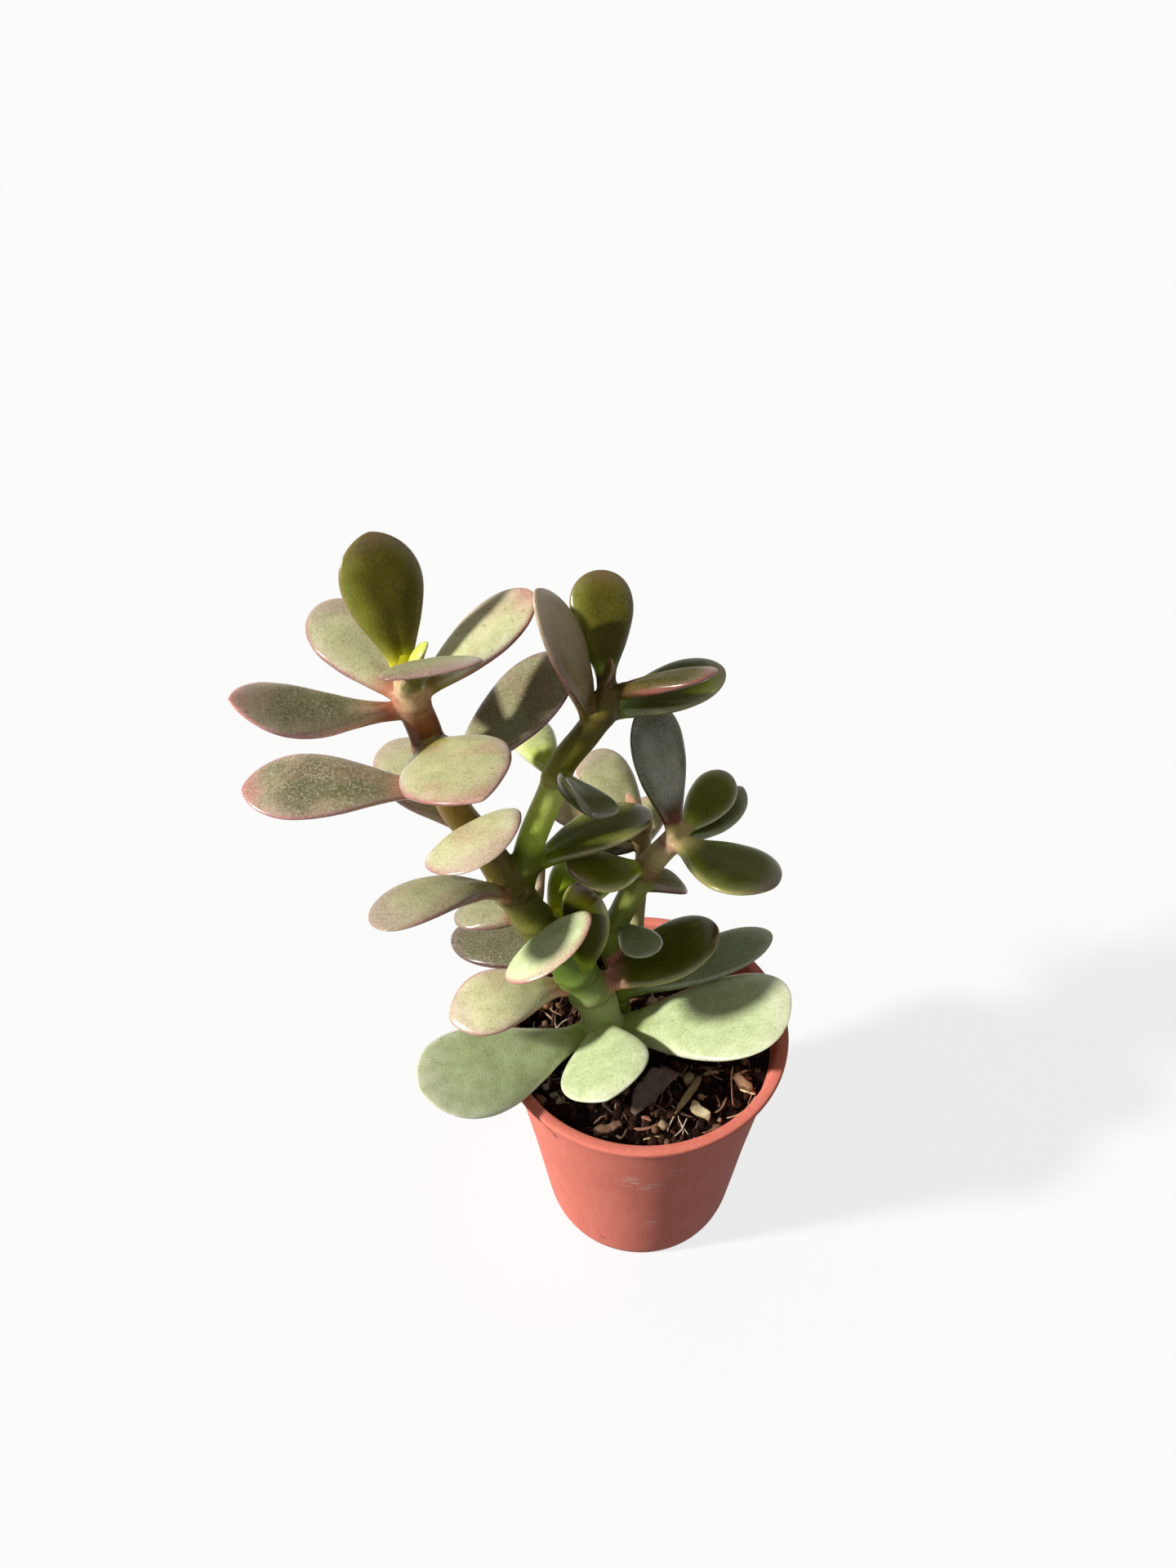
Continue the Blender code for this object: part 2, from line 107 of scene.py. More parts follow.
@dataclass(frozen=True)
class LeafFinish:
    """How one kind of leaf is coloured.

    `upper` and `under` are its two faces, `heart` the middle of the upper one,
    `margin` the line round its edge, `tip` the colour that creeps in from its
    end and `petiole` its root. `margin_width` is how far the margin reaches
    over the rounded edge, and `tip_start` and `petiole_end` are shares of the
    length. `bloom` is the strength of the silvery speckle, `mottle` that of the
    blotches, the lit flank colour is painted light that creeps in from its left
    side, where the sun falls, and `blush` is how much of the margin's colour its
    patches take.
    """
    upper: Colour
    heart: Colour
    under: Colour
    margin: Colour
    tip: Colour
    petiole: Colour
    margin_width: float = 0.4
    tip_start: float = 0.8
    petiole_end: float = 0.3
    bloom: float = 0.6
    mottle: float = 0.14
    lit_flank: Colour | None = None
    blush: float = 0.3


class LeafKind(Enum):
    """The named leaf colours of the plant."""
    SILVER = LeafFinish(shade(220, 232, 184), shade(206, 224, 168), shade(128, 148, 76),
                        shade(234, 238, 210), shade(228, 230, 196), shade(172, 196, 108),
                        bloom=0.8, mottle=0.09, blush=0.1)
    FROST = LeafFinish(shade(222, 232, 186), shade(206, 222, 168), shade(128, 148, 76),
                       shade(196, 120, 116), shade(214, 178, 158), shade(176, 192, 108),
                       tip_start=0.88, bloom=0.8, mottle=0.11, blush=0.06)
    SAGE = LeafFinish(shade(216, 206, 164), shade(204, 202, 150), shade(128, 128, 54),
                      shade(184, 104, 108), shade(202, 150, 138), shade(172, 160, 92))
    CREAM = LeafFinish(shade(242, 240, 204), shade(230, 230, 180), shade(140, 134, 60),
                       shade(174, 90, 92), shade(212, 134, 126), shade(150, 134, 66),
                       bloom=0.5, mottle=0.13)
    TAN = LeafFinish(shade(226, 218, 180), shade(214, 212, 162), shade(140, 124, 70),
                     shade(190, 124, 122), shade(214, 184, 168), shade(200, 132, 104), bloom=0.8)
    BRONZE = LeafFinish(shade(172, 158, 130), shade(122, 118, 88), shade(76, 66, 32),
                        shade(208, 140, 144), shade(200, 120, 120), shade(202, 124, 108),
                        tip_start=0.86, bloom=1.0, mottle=0.26, blush=0.14)
    # OLIVE, DEEP and PLUM are dark partly as painted shade, for leaves that lie in shade; OLIVE's flank
    # colour is painted light on the left side, where the sun falls.
    OLIVE = LeafFinish(shade(114, 106, 32), shade(102, 96, 28), shade(86, 82, 18),
                       shade(160, 116, 84), shade(120, 90, 44), shade(222, 216, 48), margin_width=0.2,
                       petiole_end=0.24, bloom=0.1, mottle=0.07, lit_flank=shade(150, 152, 58), blush=0.1)
    DEEP = LeafFinish(shade(114, 120, 46), shade(96, 100, 22), shade(74, 76, 14),
                      shade(192, 186, 116), shade(94, 68, 38), shade(146, 164, 40),
                      bloom=0.1, mottle=0.07, blush=0.1)
    PLUM = LeafFinish(shade(124, 110, 60), shade(100, 92, 42), shade(72, 62, 26),
                      shade(188, 108, 92), shade(164, 96, 82), shade(128, 96, 44), bloom=0.15, mottle=0.08)
    FRESH = LeafFinish(shade(132, 154, 38), shade(116, 138, 32), shade(80, 100, 16),
                       shade(174, 188, 78), shade(112, 120, 38), shade(198, 218, 36),
                       bloom=0.06, mottle=0.07, blush=0.1)
    # LEMON is pale as painted light, for a leaf that the sun falls on.
    LEMON = LeafFinish(shade(242, 244, 184), shade(236, 242, 172), shade(200, 212, 96),
                       shade(242, 242, 206), shade(236, 236, 190), shade(206, 224, 76),
                       petiole_end=0.5, bloom=0.3, mottle=0.06)
    # HUSK's pale tip colour is painted light, where the sun falls on the upper half of the leaf.
    HUSK = LeafFinish(shade(184, 164, 124), shade(196, 180, 142), shade(96, 74, 44),
                      shade(116, 66, 56), shade(242, 220, 192), shade(124, 98, 52),
                      tip_start=0.5, bloom=0.3, mottle=0.1)
    # ASH's pale grey heart is a painted sheen: a reflection on the middle of the leaf.
    ASH = LeafFinish(shade(112, 118, 86), shade(212, 212, 204), shade(76, 72, 44),
                     shade(96, 98, 62), shade(112, 98, 78), shade(122, 62, 48),
                     margin_width=0.5, bloom=0.9, mottle=0.2)
    BUD = LeafFinish(shade(236, 240, 120), shade(230, 236, 110), shade(190, 196, 56),
                     shade(236, 236, 140), shade(238, 238, 140), shade(200, 196, 56),
                     bloom=0.0, mottle=0.05)
    ROSE = LeafFinish(shade(250, 230, 206), shade(246, 220, 194), shade(226, 180, 152),
                      shade(240, 196, 176), shade(232, 170, 146), shade(214, 156, 120),
                      bloom=0.2, mottle=0.08)


@dataclass(frozen=True)
class Stem:
    """A stem or branch.

    `points` and `radii` give its axis and thickness, `nodes` the heights of
    its leaf scars and `colours` pairs of a height and the colour there.
    """
    name: str
    points: tuple
    radii: tuple
    nodes: tuple
    colours: tuple


@dataclass(frozen=True)
class Leaf:
    """A leaf on a stem.

    It leaves the stem's axis at `height`, points along `azimuth` (0 is +X, 90
    is +Y) and climbs at `rise` degrees. `roll` turns it about its length,
    `arch` is the height of its bow and `cup` the lift of its edges. `outline`
    holds the exponents of its base and tip, and its tone makes it paler or
    darker than its kind: partly its own tone, partly painted light and painted
    shade for how much sun falls on it. `stalk` colours its petiole where that differs.
    """
    name: str
    stem: str
    height: float
    azimuth: float
    rise: float
    length: float
    width: float
    kind: LeafKind
    tone: float = 1.0
    roll: float = 0.0
    arch: float = 0.0
    cup: float = 0.0
    thick: float = 3.2              # thickness in mm
    outline: tuple = (1.0, 0.55)
    stalk: Colour | None = None

    @property
    def petiole(self) -> Colour:
        """Colour of the petiole: its own, or its kind's at the leaf's tone.

        Returns:
            The linear colour.
        """
        if self.stalk is not None:
            return self.stalk
        return tuple(self.tone * channel for channel in self.kind.value.petiole)

    def bowed(self, t: np.ndarray | float) -> np.ndarray | float:
        """Height of its bow in mm at shares of its length."""
        return self.arch * self.length * 4.0 * t * (1.0 - t)


STEMS = (
    Stem("main_stem",
         ((-7.5, 2, 47.5), (-8, 2, 54), (-9, 2, 59), (-13, 2.5, 67.5), (-19, 3.5, 78), (-23, 4.5, 86.5)),
         (3.9, 3.8, 3.9, 3.7, 3.4, 3.3),
         (51.0, 61.5, 66.5, 79.5, 86.5),
         # the pale colours at 48 to 54 mm are partly painted light, where the sun falls on the foot of the
         # stem
         ((48, shade(208, 206, 172)), (54, shade(198, 200, 160)), (60, shade(156, 162, 110)),
          (66, shade(112, 140, 62)), (72, shade(104, 136, 52)), (79, shade(112, 116, 52)),
          (88, shade(104, 96, 44)))),
    Stem("left_branch",
         ((-22.9, 4.6, 86.0), (-27.5, 5, 97.5), (-31.5, 4.5, 106.5), (-33.5, 4, 117), (-34.5, 3.5, 124),
          (-35.5, 3, 129), (-36, 3, 133.5)),
         (3.1, 2.7, 2.6, 2.6, 2.6, 2.5, 1.9),
         (98.5, 112.3, 120.0, 129.0),
         ((88, shade(106, 98, 40)), (100, shade(120, 104, 50)), (112, shade(140, 108, 60)),
          (118, shade(222, 150, 122)), (122, shade(110, 66, 44)), (127, shade(150, 84, 62)),
          (131, shade(226, 190, 150)))),
    Stem("right_branch",
         ((-22.2, 5.0, 84.5), (-19.5, 7, 95.5), (-16, 8, 105), (-13.5, 8.5, 112), (-9.7, 9, 117.5),
          (-6.8, 9.5, 122.5), (-6, 10, 126.5)),
         (2.6, 2.5, 2.4, 2.3, 2.3, 2.2, 1.7),
         (90.5, 109.0, 121.5),
         # the bright yellow-green stretch from 97 to 108 mm is painted light, a sunlit stretch of the
         # branch
         ((87, shade(88, 92, 24)), (94, shade(112, 126, 34)), (97, shade(196, 230, 84)),
          (103, shade(234, 252, 120)), (108, shade(236, 250, 136)), (110.5, shade(156, 154, 56)),
          (118, shade(108, 102, 34)), (126, shade(96, 80, 34)))),
    Stem("rear_stem",
         ((-3.6, 6.8, 47.5), (-4.5, 7, 58), (-6, 8.5, 68), (-3.7, 9, 75.5), (0.6, 10, 85.3),
          (3.4, 10.5, 89.5), (6.4, 11, 92.7)),
         (1.8, 1.8, 2.0, 2.3, 2.4, 2.2, 2.0),
         (54.0, 72.5, 85.3, 92.0),
         # the pale node at 89 to 91 mm is partly painted light
         ((49, shade(144, 164, 74)), (60, shade(116, 134, 46)), (72, shade(140, 156, 66)),
          (82, shade(176, 184, 96)), (86, shade(150, 112, 70)), (89, shade(232, 216, 150)),
          (91, shade(226, 186, 150)), (93, shade(206, 186, 120)))),
    Stem("back_stem",
         ((-1, 17, 47.5), (-0.5, 17.5, 64.5), (0.3, 18, 80), (0.6, 18, 89.5)),
         (1.6, 1.5, 1.4, 1.3),
         (82.5, 88.0),
         ((49, shade(160, 160, 110)), (75, shade(196, 184, 140)), (90, shade(190, 160, 120)))),
)

# Each leaf's tone is partly its own and partly painted light and painted shade: paler for leaves that the
# sun falls on, darker for leaves that lie in shade.
LEAVES = (
    # left branch, from the growing tip down
    Leaf("left_leaf_1", "left_branch", 133, 114, 63, 21.5, 12.2, LeafKind.OLIVE, tone=1.05,
         outline=(1.3, 0.65)),
    Leaf("left_leaf_2", "left_branch", 129, 130, 16, 23, 13.2, LeafKind.TAN, tone=0.9),
    Leaf("left_leaf_3", "left_branch", 128.5, 203, 22, 26, 11.3, LeafKind.BRONZE, tone=1.5, roll=8,
         arch=-0.06, outline=(1.6, 0.75), stalk=shade(176, 104, 84)),
    Leaf("left_leaf_4", "left_branch", 130, 36, 25, 23, 9.8, LeafKind.CREAM, roll=-6),
    Leaf("left_leaf_5", "left_branch", 132, 297, 41.5, 17.6, 14.6, LeafKind.SAGE, tone=0.75, roll=6.5,
         arch=0.12, thick=2.8, outline=(2.2, 0.5)),
    Leaf("left_leaf_6", "left_branch", 133.2, 15, 66, 6.5, 3.5, LeafKind.BUD, roll=8, arch=0.1, thick=2.2),
    Leaf("left_leaf_7", "left_branch", 130.8, 76, 47, 5.8, 1.8, LeafKind.PLUM, roll=32, thick=1.3),
    Leaf("left_leaf_8", "left_branch", 110.5, 180, 2, 31.2, 12.5, LeafKind.BRONZE, tone=1.1, roll=15,
         arch=0.03, outline=(1.5, 0.67)),
    Leaf("left_leaf_9", "left_branch", 121, 294, 19.5, 24.8, 16.7, LeafKind.SAGE, tone=0.97, roll=-9,
         arch=0.04, outline=(0.9, 0.8)),
    Leaf("left_leaf_10", "left_branch", 100, 130, 10, 24, 14, LeafKind.TAN, tone=1.05),
    # left_leaf_11's pale stalk colour is painted light: a sunlit patch at its base.
    Leaf("left_leaf_11", "left_branch", 112.5, 28.5, 34.5, 26.6, 12.9, LeafKind.SAGE, tone=0.5, roll=-7,
         cup=0.1, stalk=shade(206, 204, 160)),
    # around the fork
    Leaf("fork_leaf_1", "left_branch", 97, 275, 39, 21, 17, LeafKind.TAN, roll=-25, arch=0.22, cup=-0.06),
    Leaf("fork_leaf_2", "main_stem", 86.5, 225, 27.5, 29.5, 13, LeafKind.TAN, tone=0.78, roll=-15,
         arch=0.13, outline=(0.9, 0.45)),
    Leaf("fork_leaf_3", "main_stem", 79, 91, 16, 16, 6, LeafKind.ROSE, roll=60, thick=2.5),
    Leaf("fork_leaf_4", "right_branch", 90.5, 21, 13, 22.7, 11.8, LeafKind.DEEP, tone=0.9, roll=10,
         arch=0.06),
    Leaf("fork_leaf_5", "main_stem", 80, 159, -15, 14, 8, LeafKind.TAN, tone=0.62),
    Leaf("fork_leaf_6", "main_stem", 75, 54, 15, 18.5, 14.5, LeafKind.FRESH, tone=2.0, roll=13, arch=0.12),
    # right branch
    Leaf("right_leaf_1", "right_branch", 108.5, 112, 1, 17, 8, LeafKind.LEMON),
    Leaf("right_leaf_2", "right_branch", 110, 294, 8, 12.5, 11.5, LeafKind.DEEP, tone=0.85, roll=42,
         cup=0.38),
    Leaf("right_leaf_3", "right_branch", 120, 168, 71.5, 24, 10, LeafKind.HUSK, roll=9, arch=0.06,
         outline=(1.0, 0.65)),
    Leaf("right_leaf_4", "right_branch", 126, 94, 50, 17.7, 10.0, LeafKind.OLIVE, tone=0.8,
         outline=(1.1, 0.5), stalk=shade(150, 184, 60)),
    Leaf("right_leaf_5", "right_branch", 126.2, 30, 78, 5.3, 2.6, LeafKind.PLUM, roll=8, thick=1.6),
    Leaf("right_leaf_6", "right_branch", 125.5, 338, 27, 18, 6.4, LeafKind.PLUM, tone=0.6, roll=10),
    Leaf("right_leaf_7", "right_branch", 121.5, 21, 9, 20.5, 10.2, LeafKind.DEEP, tone=0.75, roll=-6,
         stalk=shade(136, 156, 78)),
    # rear stem
    Leaf("rear_leaf_1", "rear_stem", 92.5, 117, 65, 24, 10, LeafKind.ASH),
    Leaf("rear_leaf_2", "rear_stem", 92.7, 54, 6, 16.5, 8.1, LeafKind.DEEP, tone=1.2, roll=-24),
    Leaf("rear_leaf_3", "rear_stem", 91, 50, -7, 22.3, 9.4, LeafKind.DEEP, tone=0.75, arch=-0.04,
         thick=2.8, outline=(1.0, 0.7)),
    Leaf("rear_leaf_4", "rear_stem", 92, 316, 10, 20.5, 13.8, LeafKind.DEEP, tone=1.1, roll=7,
         outline=(1.0, 0.6), stalk=shade(186, 178, 104)),
    Leaf("rear_leaf_5", "rear_stem", 81, 26, -26, 10, 6.5, LeafKind.SAGE, tone=0.55, arch=0.15),
    Leaf("rear_leaf_6", "rear_stem", 85.5, 208, 22, 15.5, 10.8, LeafKind.DEEP, tone=1.7, thick=2.8),
    # back stem
    Leaf("back_leaf_1", "back_stem", 88.2, 133, 31, 16.3, 11, LeafKind.TAN, tone=1.12, outline=(1.0, 0.45)),
    Leaf("back_leaf_2", "back_stem", 85.2, 159, 7, 17.7, 8.8, LeafKind.SAGE, arch=0.06),
    Leaf("back_leaf_3", "back_stem", 89.6, 173, 71, 6.9, 2.3, LeafKind.ROSE, roll=-72, arch=-0.06,
         thick=1.4),
    Leaf("back_leaf_4", "back_stem", 82.5, 81, 13, 11, 7, LeafKind.SAGE),
    Leaf("back_leaf_5", "back_stem", 83, 173, -5, 7.8, 4.8, LeafKind.SAGE, tone=0.32, thick=2.5),
    # young leaves low on the stems
    Leaf("shoot_leaf_1", "main_stem", 66.5, 316, 89, 22.7, 9.6, LeafKind.DEEP, tone=1.1, roll=78),
    Leaf("shoot_leaf_2", "rear_stem", 72.5, 302, 16, 11, 7.5, LeafKind.SILVER, tone=0.6),
    # lower main stem
    Leaf("lower_leaf_1", "main_stem", 73.5, 274, 42, 18.5, 18, LeafKind.FROST, tone=1.15, roll=-34,
         arch=0.21, cup=-0.08),
    Leaf("lower_leaf_2", "main_stem", 64, 201, 4.7, 23.5, 12.4, LeafKind.TAN, tone=1.04, roll=12,
         arch=0.14, outline=(1.5, 0.7), stalk=shade(226, 150, 136)),
    Leaf("lower_leaf_3", "main_stem", 61, 13, 24, 24.5, 13, LeafKind.DEEP, tone=1.05,
         stalk=shade(210, 140, 122)),
    Leaf("lower_leaf_4", "rear_stem", 54, 10, 20, 30.5, 10, LeafKind.SILVER, tone=0.6),
    Leaf("lower_leaf_5", "main_stem", 68.5, 151, -9, 24, 12, LeafKind.SAGE, tone=0.3),
    # just above the compost
    Leaf("base_leaf_1", "main_stem", 50.6, 214.5, 18, 38, 18.2, LeafKind.SILVER, tone=1.15, roll=10,
         outline=(1.5, 0.6)),
    Leaf("base_leaf_2", "main_stem", 54.2, 271.5, 13, 20.5, 17.2, LeafKind.SILVER, roll=-23,
         outline=(1.2, 0.75)),
    Leaf("base_leaf_3", "main_stem", 50, 346, 25, 35.8, 20, LeafKind.SILVER, tone=0.98,
         outline=(1.0, 0.42)),
)


# --- shader and mesh helpers ---

class Wiring:
    """Adds shader nodes to one material and joins them."""

    def __init__(self, name: str) -> None:
        """Start a material with a Principled shader.

        Args:
            name: the material's name.
        """
        self.material = bpy.data.materials.new(name)
        self.material.use_nodes = True
        self.tree = self.material.node_tree
        self.shader = self.tree.nodes["Principled BSDF"]
        self.place = self.add("ShaderNodeTexCoord").outputs["Object"]

    def add(self, kind: str, **settings: object) -> bpy.types.ShaderNode:
        """Add a node and set its properties.

        Args:
            kind: the node's type name.
            settings: properties of the node.

        Returns:
            The node.
        """
        node = self.tree.nodes.new(kind)
        for key, value in settings.items():
            setattr(node, key, value)
        return node

    def feed(self, socket: bpy.types.NodeSocket, value: object) -> None:
        """Link a socket's input, or set its value.

        Args:
            socket: the input.
            value: an output socket, a colour, a vector or a number.
        """
        if isinstance(value, bpy.types.NodeSocket):
            self.tree.links.new(value, socket)
        elif isinstance(value, tuple) and socket.type == "RGBA":
            socket.default_value = (*value, 1.0)
        else:
            socket.default_value = value

    def painted(self, name: str, output: str = "Color") -> bpy.types.NodeSocket:
        """Read an attribute that the mesh carries.

        Args:
            name: the attribute.
            output: which of the node's outputs to take.

        Returns:
            The output socket.
        """
        return self.add("ShaderNodeAttribute", attribute_name=name).outputs[output]

    def stretched(self, across: float, up: float) -> bpy.types.NodeSocket:
        """Scale the place before a texture, so that its grain is drawn out.

        Args:
            across: scale along X and Y.
            up: scale along Z.

        Returns:
            The scaled place.
        """
        node = self.add("ShaderNodeMapping")
        self.feed(node.inputs["Vector"], self.place)
        self.feed(node.inputs["Scale"], (across, across, up))
        return node.outputs["Vector"]

    def grain(self, size: float, detail: float, place: bpy.types.NodeSocket | None = None,
              rough: float = 0.55) -> bpy.types.NodeSocket:
        """Noise whose features are about `size` mm wide.

        Args:
            size: width of a feature.
            detail: number of finer layers.
            place: where it is read, or the object's own place.
            rough: strength of the finer layers.

        Returns:
            The noise, about 0.3 to 0.7.
        """
        node = self.add("ShaderNodeTexNoise")
        self.feed(node.inputs["Vector"], place or self.place)
        self.feed(node.inputs["Scale"], 1.0 / (size * MM))
        self.feed(node.inputs["Detail"], detail)
        self.feed(node.inputs["Roughness"], rough)
        return node.outputs["Fac"]

    def cells(self, size: float) -> bpy.types.NodeSocket:
        """Rounded cells about `size` mm wide.

        Args:
            size: width of a cell.

        Returns:
            The distance from the middle of the cell.
        """
        node = self.add("ShaderNodeTexVoronoi")
        self.feed(node.inputs["Vector"], self.place)
        self.feed(node.inputs["Scale"], 1.0 / (size * MM))
        return node.outputs["Distance"]

    def near(self, point: tuple, reach: float) -> bpy.types.NodeSocket:
        """Fade out from a point.

        Args:
            point: the point, in mm.
            reach: how far off it falls to nothing, in mm.

        Returns:
            1 round the point, and 0 beyond its reach.
        """
        full = 0.3 * reach
        node = self.add("ShaderNodeVectorMath", operation="DISTANCE")
        self.feed(node.inputs[0], self.place)
        self.feed(node.inputs[1], tuple(part * MM for part in point))
        return self.step(node.outputs["Value"], reach * MM, full * MM)

    def step(self, value: bpy.types.NodeSocket, low: float, high: float, bottom: float = 0.0,
             top: float = 1.0) -> bpy.types.NodeSocket:
        """Spread a value between two limits.

        Args:
            value: what is spread.
            low: the value that gives `bottom`.
            high: the value that gives `top`.
            bottom: result at `low`.
            top: result at `high`.

        Returns:
            The result, kept between the two.
        """
        node = self.add("ShaderNodeMapRange", interpolation_type="SMOOTHSTEP")
        for name, given in (("Value", value), ("From Min", low), ("From Max", high), ("To Min", bottom),
                            ("To Max", top)):
            self.feed(node.inputs[name], given)
        return node.outputs["Result"]

    def joined(self, operation: str, one: object, two: object) -> bpy.types.NodeSocket:
        """Join two numbers.

        Args:
            operation: the Math node's operation.
            one: a socket or a number.
            two: a socket or a number.

        Returns:
            The result.
        """
        node = self.add("ShaderNodeMath", operation=operation)
        self.feed(node.inputs[0], one)
        self.feed(node.inputs[1], two)
        return node.outputs[0]

    def plus(self, one: object, two: object) -> bpy.types.NodeSocket:
        """Add two numbers."""
        return self.joined("ADD", one, two)

    def times(self, one: object, two: object) -> bpy.types.NodeSocket:
        """Multiply two numbers."""
        return self.joined("MULTIPLY", one, two)

    def mix(self, share: object, one: object, two: object, how: str = "MIX") -> bpy.types.NodeSocket:
        """Mix two colours.

        Args:
            share: how much of `two` shows.
            one: a socket or a colour.
            two: a socket or a colour.
            how: the blend mode.

        Returns:
            The mixed colour.
        """
        node = self.add("ShaderNodeMix", data_type="RGBA", blend_type=how)
        self.feed(node.inputs[0], share)
        self.feed(node.inputs[MIX_ONE], one)
        self.feed(node.inputs[MIX_TWO], two)
        return node.outputs[MIX_RESULT]

    def over(self, colour: object, other: object, mask: object, share: float) -> bpy.types.NodeSocket:
        """Lay one colour over another where a mask shows.

        Args:
            colour: the colour below.
            other: the colour on top.
            mask: where it lies.
            share: how much of it shows there.

        Returns:
            The mixed colour.
        """
        return self.mix(self.times(mask, share), colour, other)

    def bump(self, height: bpy.types.NodeSocket, depth: float, strength: float = 1.0) -> None:
        """Let a height stand out of the surface.

        Args:
            height: the height, 0 to 1.
            depth: how far a height of 1 stands out, in mm.
            strength: share of the effect.
        """
        node = self.add("ShaderNodeBump")
        self.feed(node.inputs["Height"], height)
        self.feed(node.inputs["Distance"], depth * MM)
        self.feed(node.inputs["Strength"], strength)
        self.feed(self.shader.inputs["Normal"], node.outputs["Normal"])

    def finish(self, colour: object, roughness: object, **others: object) -> bpy.types.Material:
        """Join colour and roughness to the shader.

        Args:
            colour: base colour.
            roughness: how rough it is.
            others: other shader inputs by name, with _ for a space.

        Returns:
            The material.
        """
        self.feed(self.shader.inputs["Base Color"], colour)
        self.feed(self.shader.inputs["Roughness"], roughness)
        for name, value in others.items():
            self.feed(self.shader.inputs[name.replace("_", " ")], value)
        return self.material


def make_mesh(name: str, points: np.ndarray, faces: list) -> bpy.types.Mesh:
    """Make a mesh.

    Args:
        name: the mesh's name.
        points: vertices in mm, one row each.
        faces: vertex numbers of each face.

    Returns:
        The mesh, in metres.
    """
    mesh = bpy.data.meshes.new(name)
    mesh.from_pydata((np.asarray(points) * MM).tolist(), [], faces)
    return mesh


def add_object(name: str, data: bpy.types.ID) -> bpy.types.Object:
    """Put a mesh, a light or a camera into the scene.

    Args:
        name: the object's name.
        data: what it holds.

    Returns:
        The object.
    """
    made = bpy.data.objects.new(name, data)
    bpy.context.scene.collection.objects.link(made)
    return made


def add_piece(name: str, points: np.ndarray, faces: list, slot: str, nodes: tuple = ()) -> bpy.types.Object:
    """Make a smooth mesh object, ride it on the body and hide the CAD nodes that it replaces.

    Args:
        name: the piece's name.
        points: vertices in mm, one row each.
        faces: vertex numbers of each face.
        slot: not used.
        nodes: CAD nodes that it replaces.

    Returns:
        The object.
    """
    mesh = make_mesh(name, points, faces)
    mesh.update()
    mesh.shade_smooth()
    piece = add_object(name, mesh)
    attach(piece, BODY)
    if nodes:
        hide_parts(*nodes)
    LOG.info("%s: %d faces", name, len(mesh.polygons))
    return piece


def paint(piece: bpy.types.Object, colours: np.ndarray) -> None:
    """Store one colour per vertex.

    Args:
        piece: the object.
        colours: linear colours, one row per vertex.
    """
    layer = piece.data.color_attributes.new(TINT, "FLOAT_COLOR", "POINT")
    rows = np.ones((len(piece.data.vertices), 4), np.float32)
    rows[:, :3] = colours
    layer.data.foreach_set("color", rows.ravel())


def weigh(piece: bpy.types.Object, values: np.ndarray, name: str) -> None:
    """Store one number per vertex.

    Args:
        piece: the object.
        values: a number per vertex.
        name: the attribute.
    """
    layer = piece.data.attributes.new(name, "FLOAT", "POINT")
    layer.data.foreach_set("value", np.asarray(values, np.float32))


def ripple(points: np.ndarray, size: float, seed: float) -> np.ndarray:
    """Smooth noise at each point.

    Args:
        points: places in mm.
        size: width of a wave in mm.
        seed: moves the pattern.

    Returns:
        A value from about -1 to 1 per point.
    """
    shift = Vector((seed, seed * 1.7, seed * 0.3))
    return np.array([noise.noise(Vector(point) / size + shift) for point in points])


def smooth_path(points: tuple, radii: tuple, spacing: float) -> tuple[np.ndarray, np.ndarray]:
    """Round a stem's axis off with a spline through its points.

    Args:
        points: points along the axis.
        radii: radius at each point.
        spacing: about how far apart the new points lie.

    Returns:
        The new points and the radius at each.
    """
    knots = np.column_stack([np.asarray(points, float), np.asarray(radii, float)])
    padded = np.vstack([2 * knots[0] - knots[1], knots, 2 * knots[-1] - knots[-2]])
    rows = []
    for i in range(1, len(padded) - 2):
        before, start, end, after = padded[i - 1:i + 3]
        count = max(2, round(np.linalg.norm(end[:3] - start[:3]) / spacing))
        for t in np.linspace(0.0, 1.0, count, endpoint=False):
            rows.append(0.5 * (2 * start + (end - before) * t
                               + (2 * before - 5 * start + 4 * end - after) * t ** 2
                               + (3 * start - before - 3 * end + after) * t ** 3))
    rows.append(padded[-2])
    path = np.array(rows)
    return path[:, :3], path[:, 3]


def around(sides: int) -> np.ndarray:
    """Angles of the points of a ring."""
    return np.arange(sides) * math.tau / sides


def ring_faces(rings: int, sides: int) -> list:
    """Faces of a tube whose rings follow each other and whose ends are closed.

    Args:
        rings: number of rings.
        sides: points in each ring.

    Returns:
        Vertex numbers of each face.
    """
    faces = []
    for i in range(rings - 1):
        for j in range(sides):
            k = (j + 1) % sides
            faces.append((i * sides + j, i * sides + k, (i + 1) * sides + k, (i + 1) * sides + j))
    faces.append(tuple(reversed(range(sides))))
    faces.append(tuple(range((rings - 1) * sides, rings * sides)))
    return faces


def tube(path: np.ndarray, radii: np.ndarray, sides: int, flat: float = 1.0) -> tuple[np.ndarray, list]:
    """A tube along a path.

    Args:
        path: points along its axis.
        radii: radius at each point.
        sides: points in each ring.
        flat: height of a ring as a share of its width.

    Returns:
        Its vertices and faces.
    """
    along = np.gradient(path, axis=0)
    along /= np.linalg.norm(along, axis=1)[:, None]
    side = np.cross(along[0], (0.0, 0.0, 1.0))
    if np.linalg.norm(side) < 0.1:      # the path starts upright
        side = np.array((1.0, 0.0, 0.0))
    rows = []
    for centre, direction, radius in zip(path, along, radii):
        side = side - direction * side.dot(direction)
        side /= np.linalg.norm(side)
        up = np.cross(side, direction)
        for angle in around(sides):
            rows.append(centre + radius * (side * math.cos(angle) + up * math.sin(angle) * flat))
    return np.array(rows), ring_faces(len(path), sides)


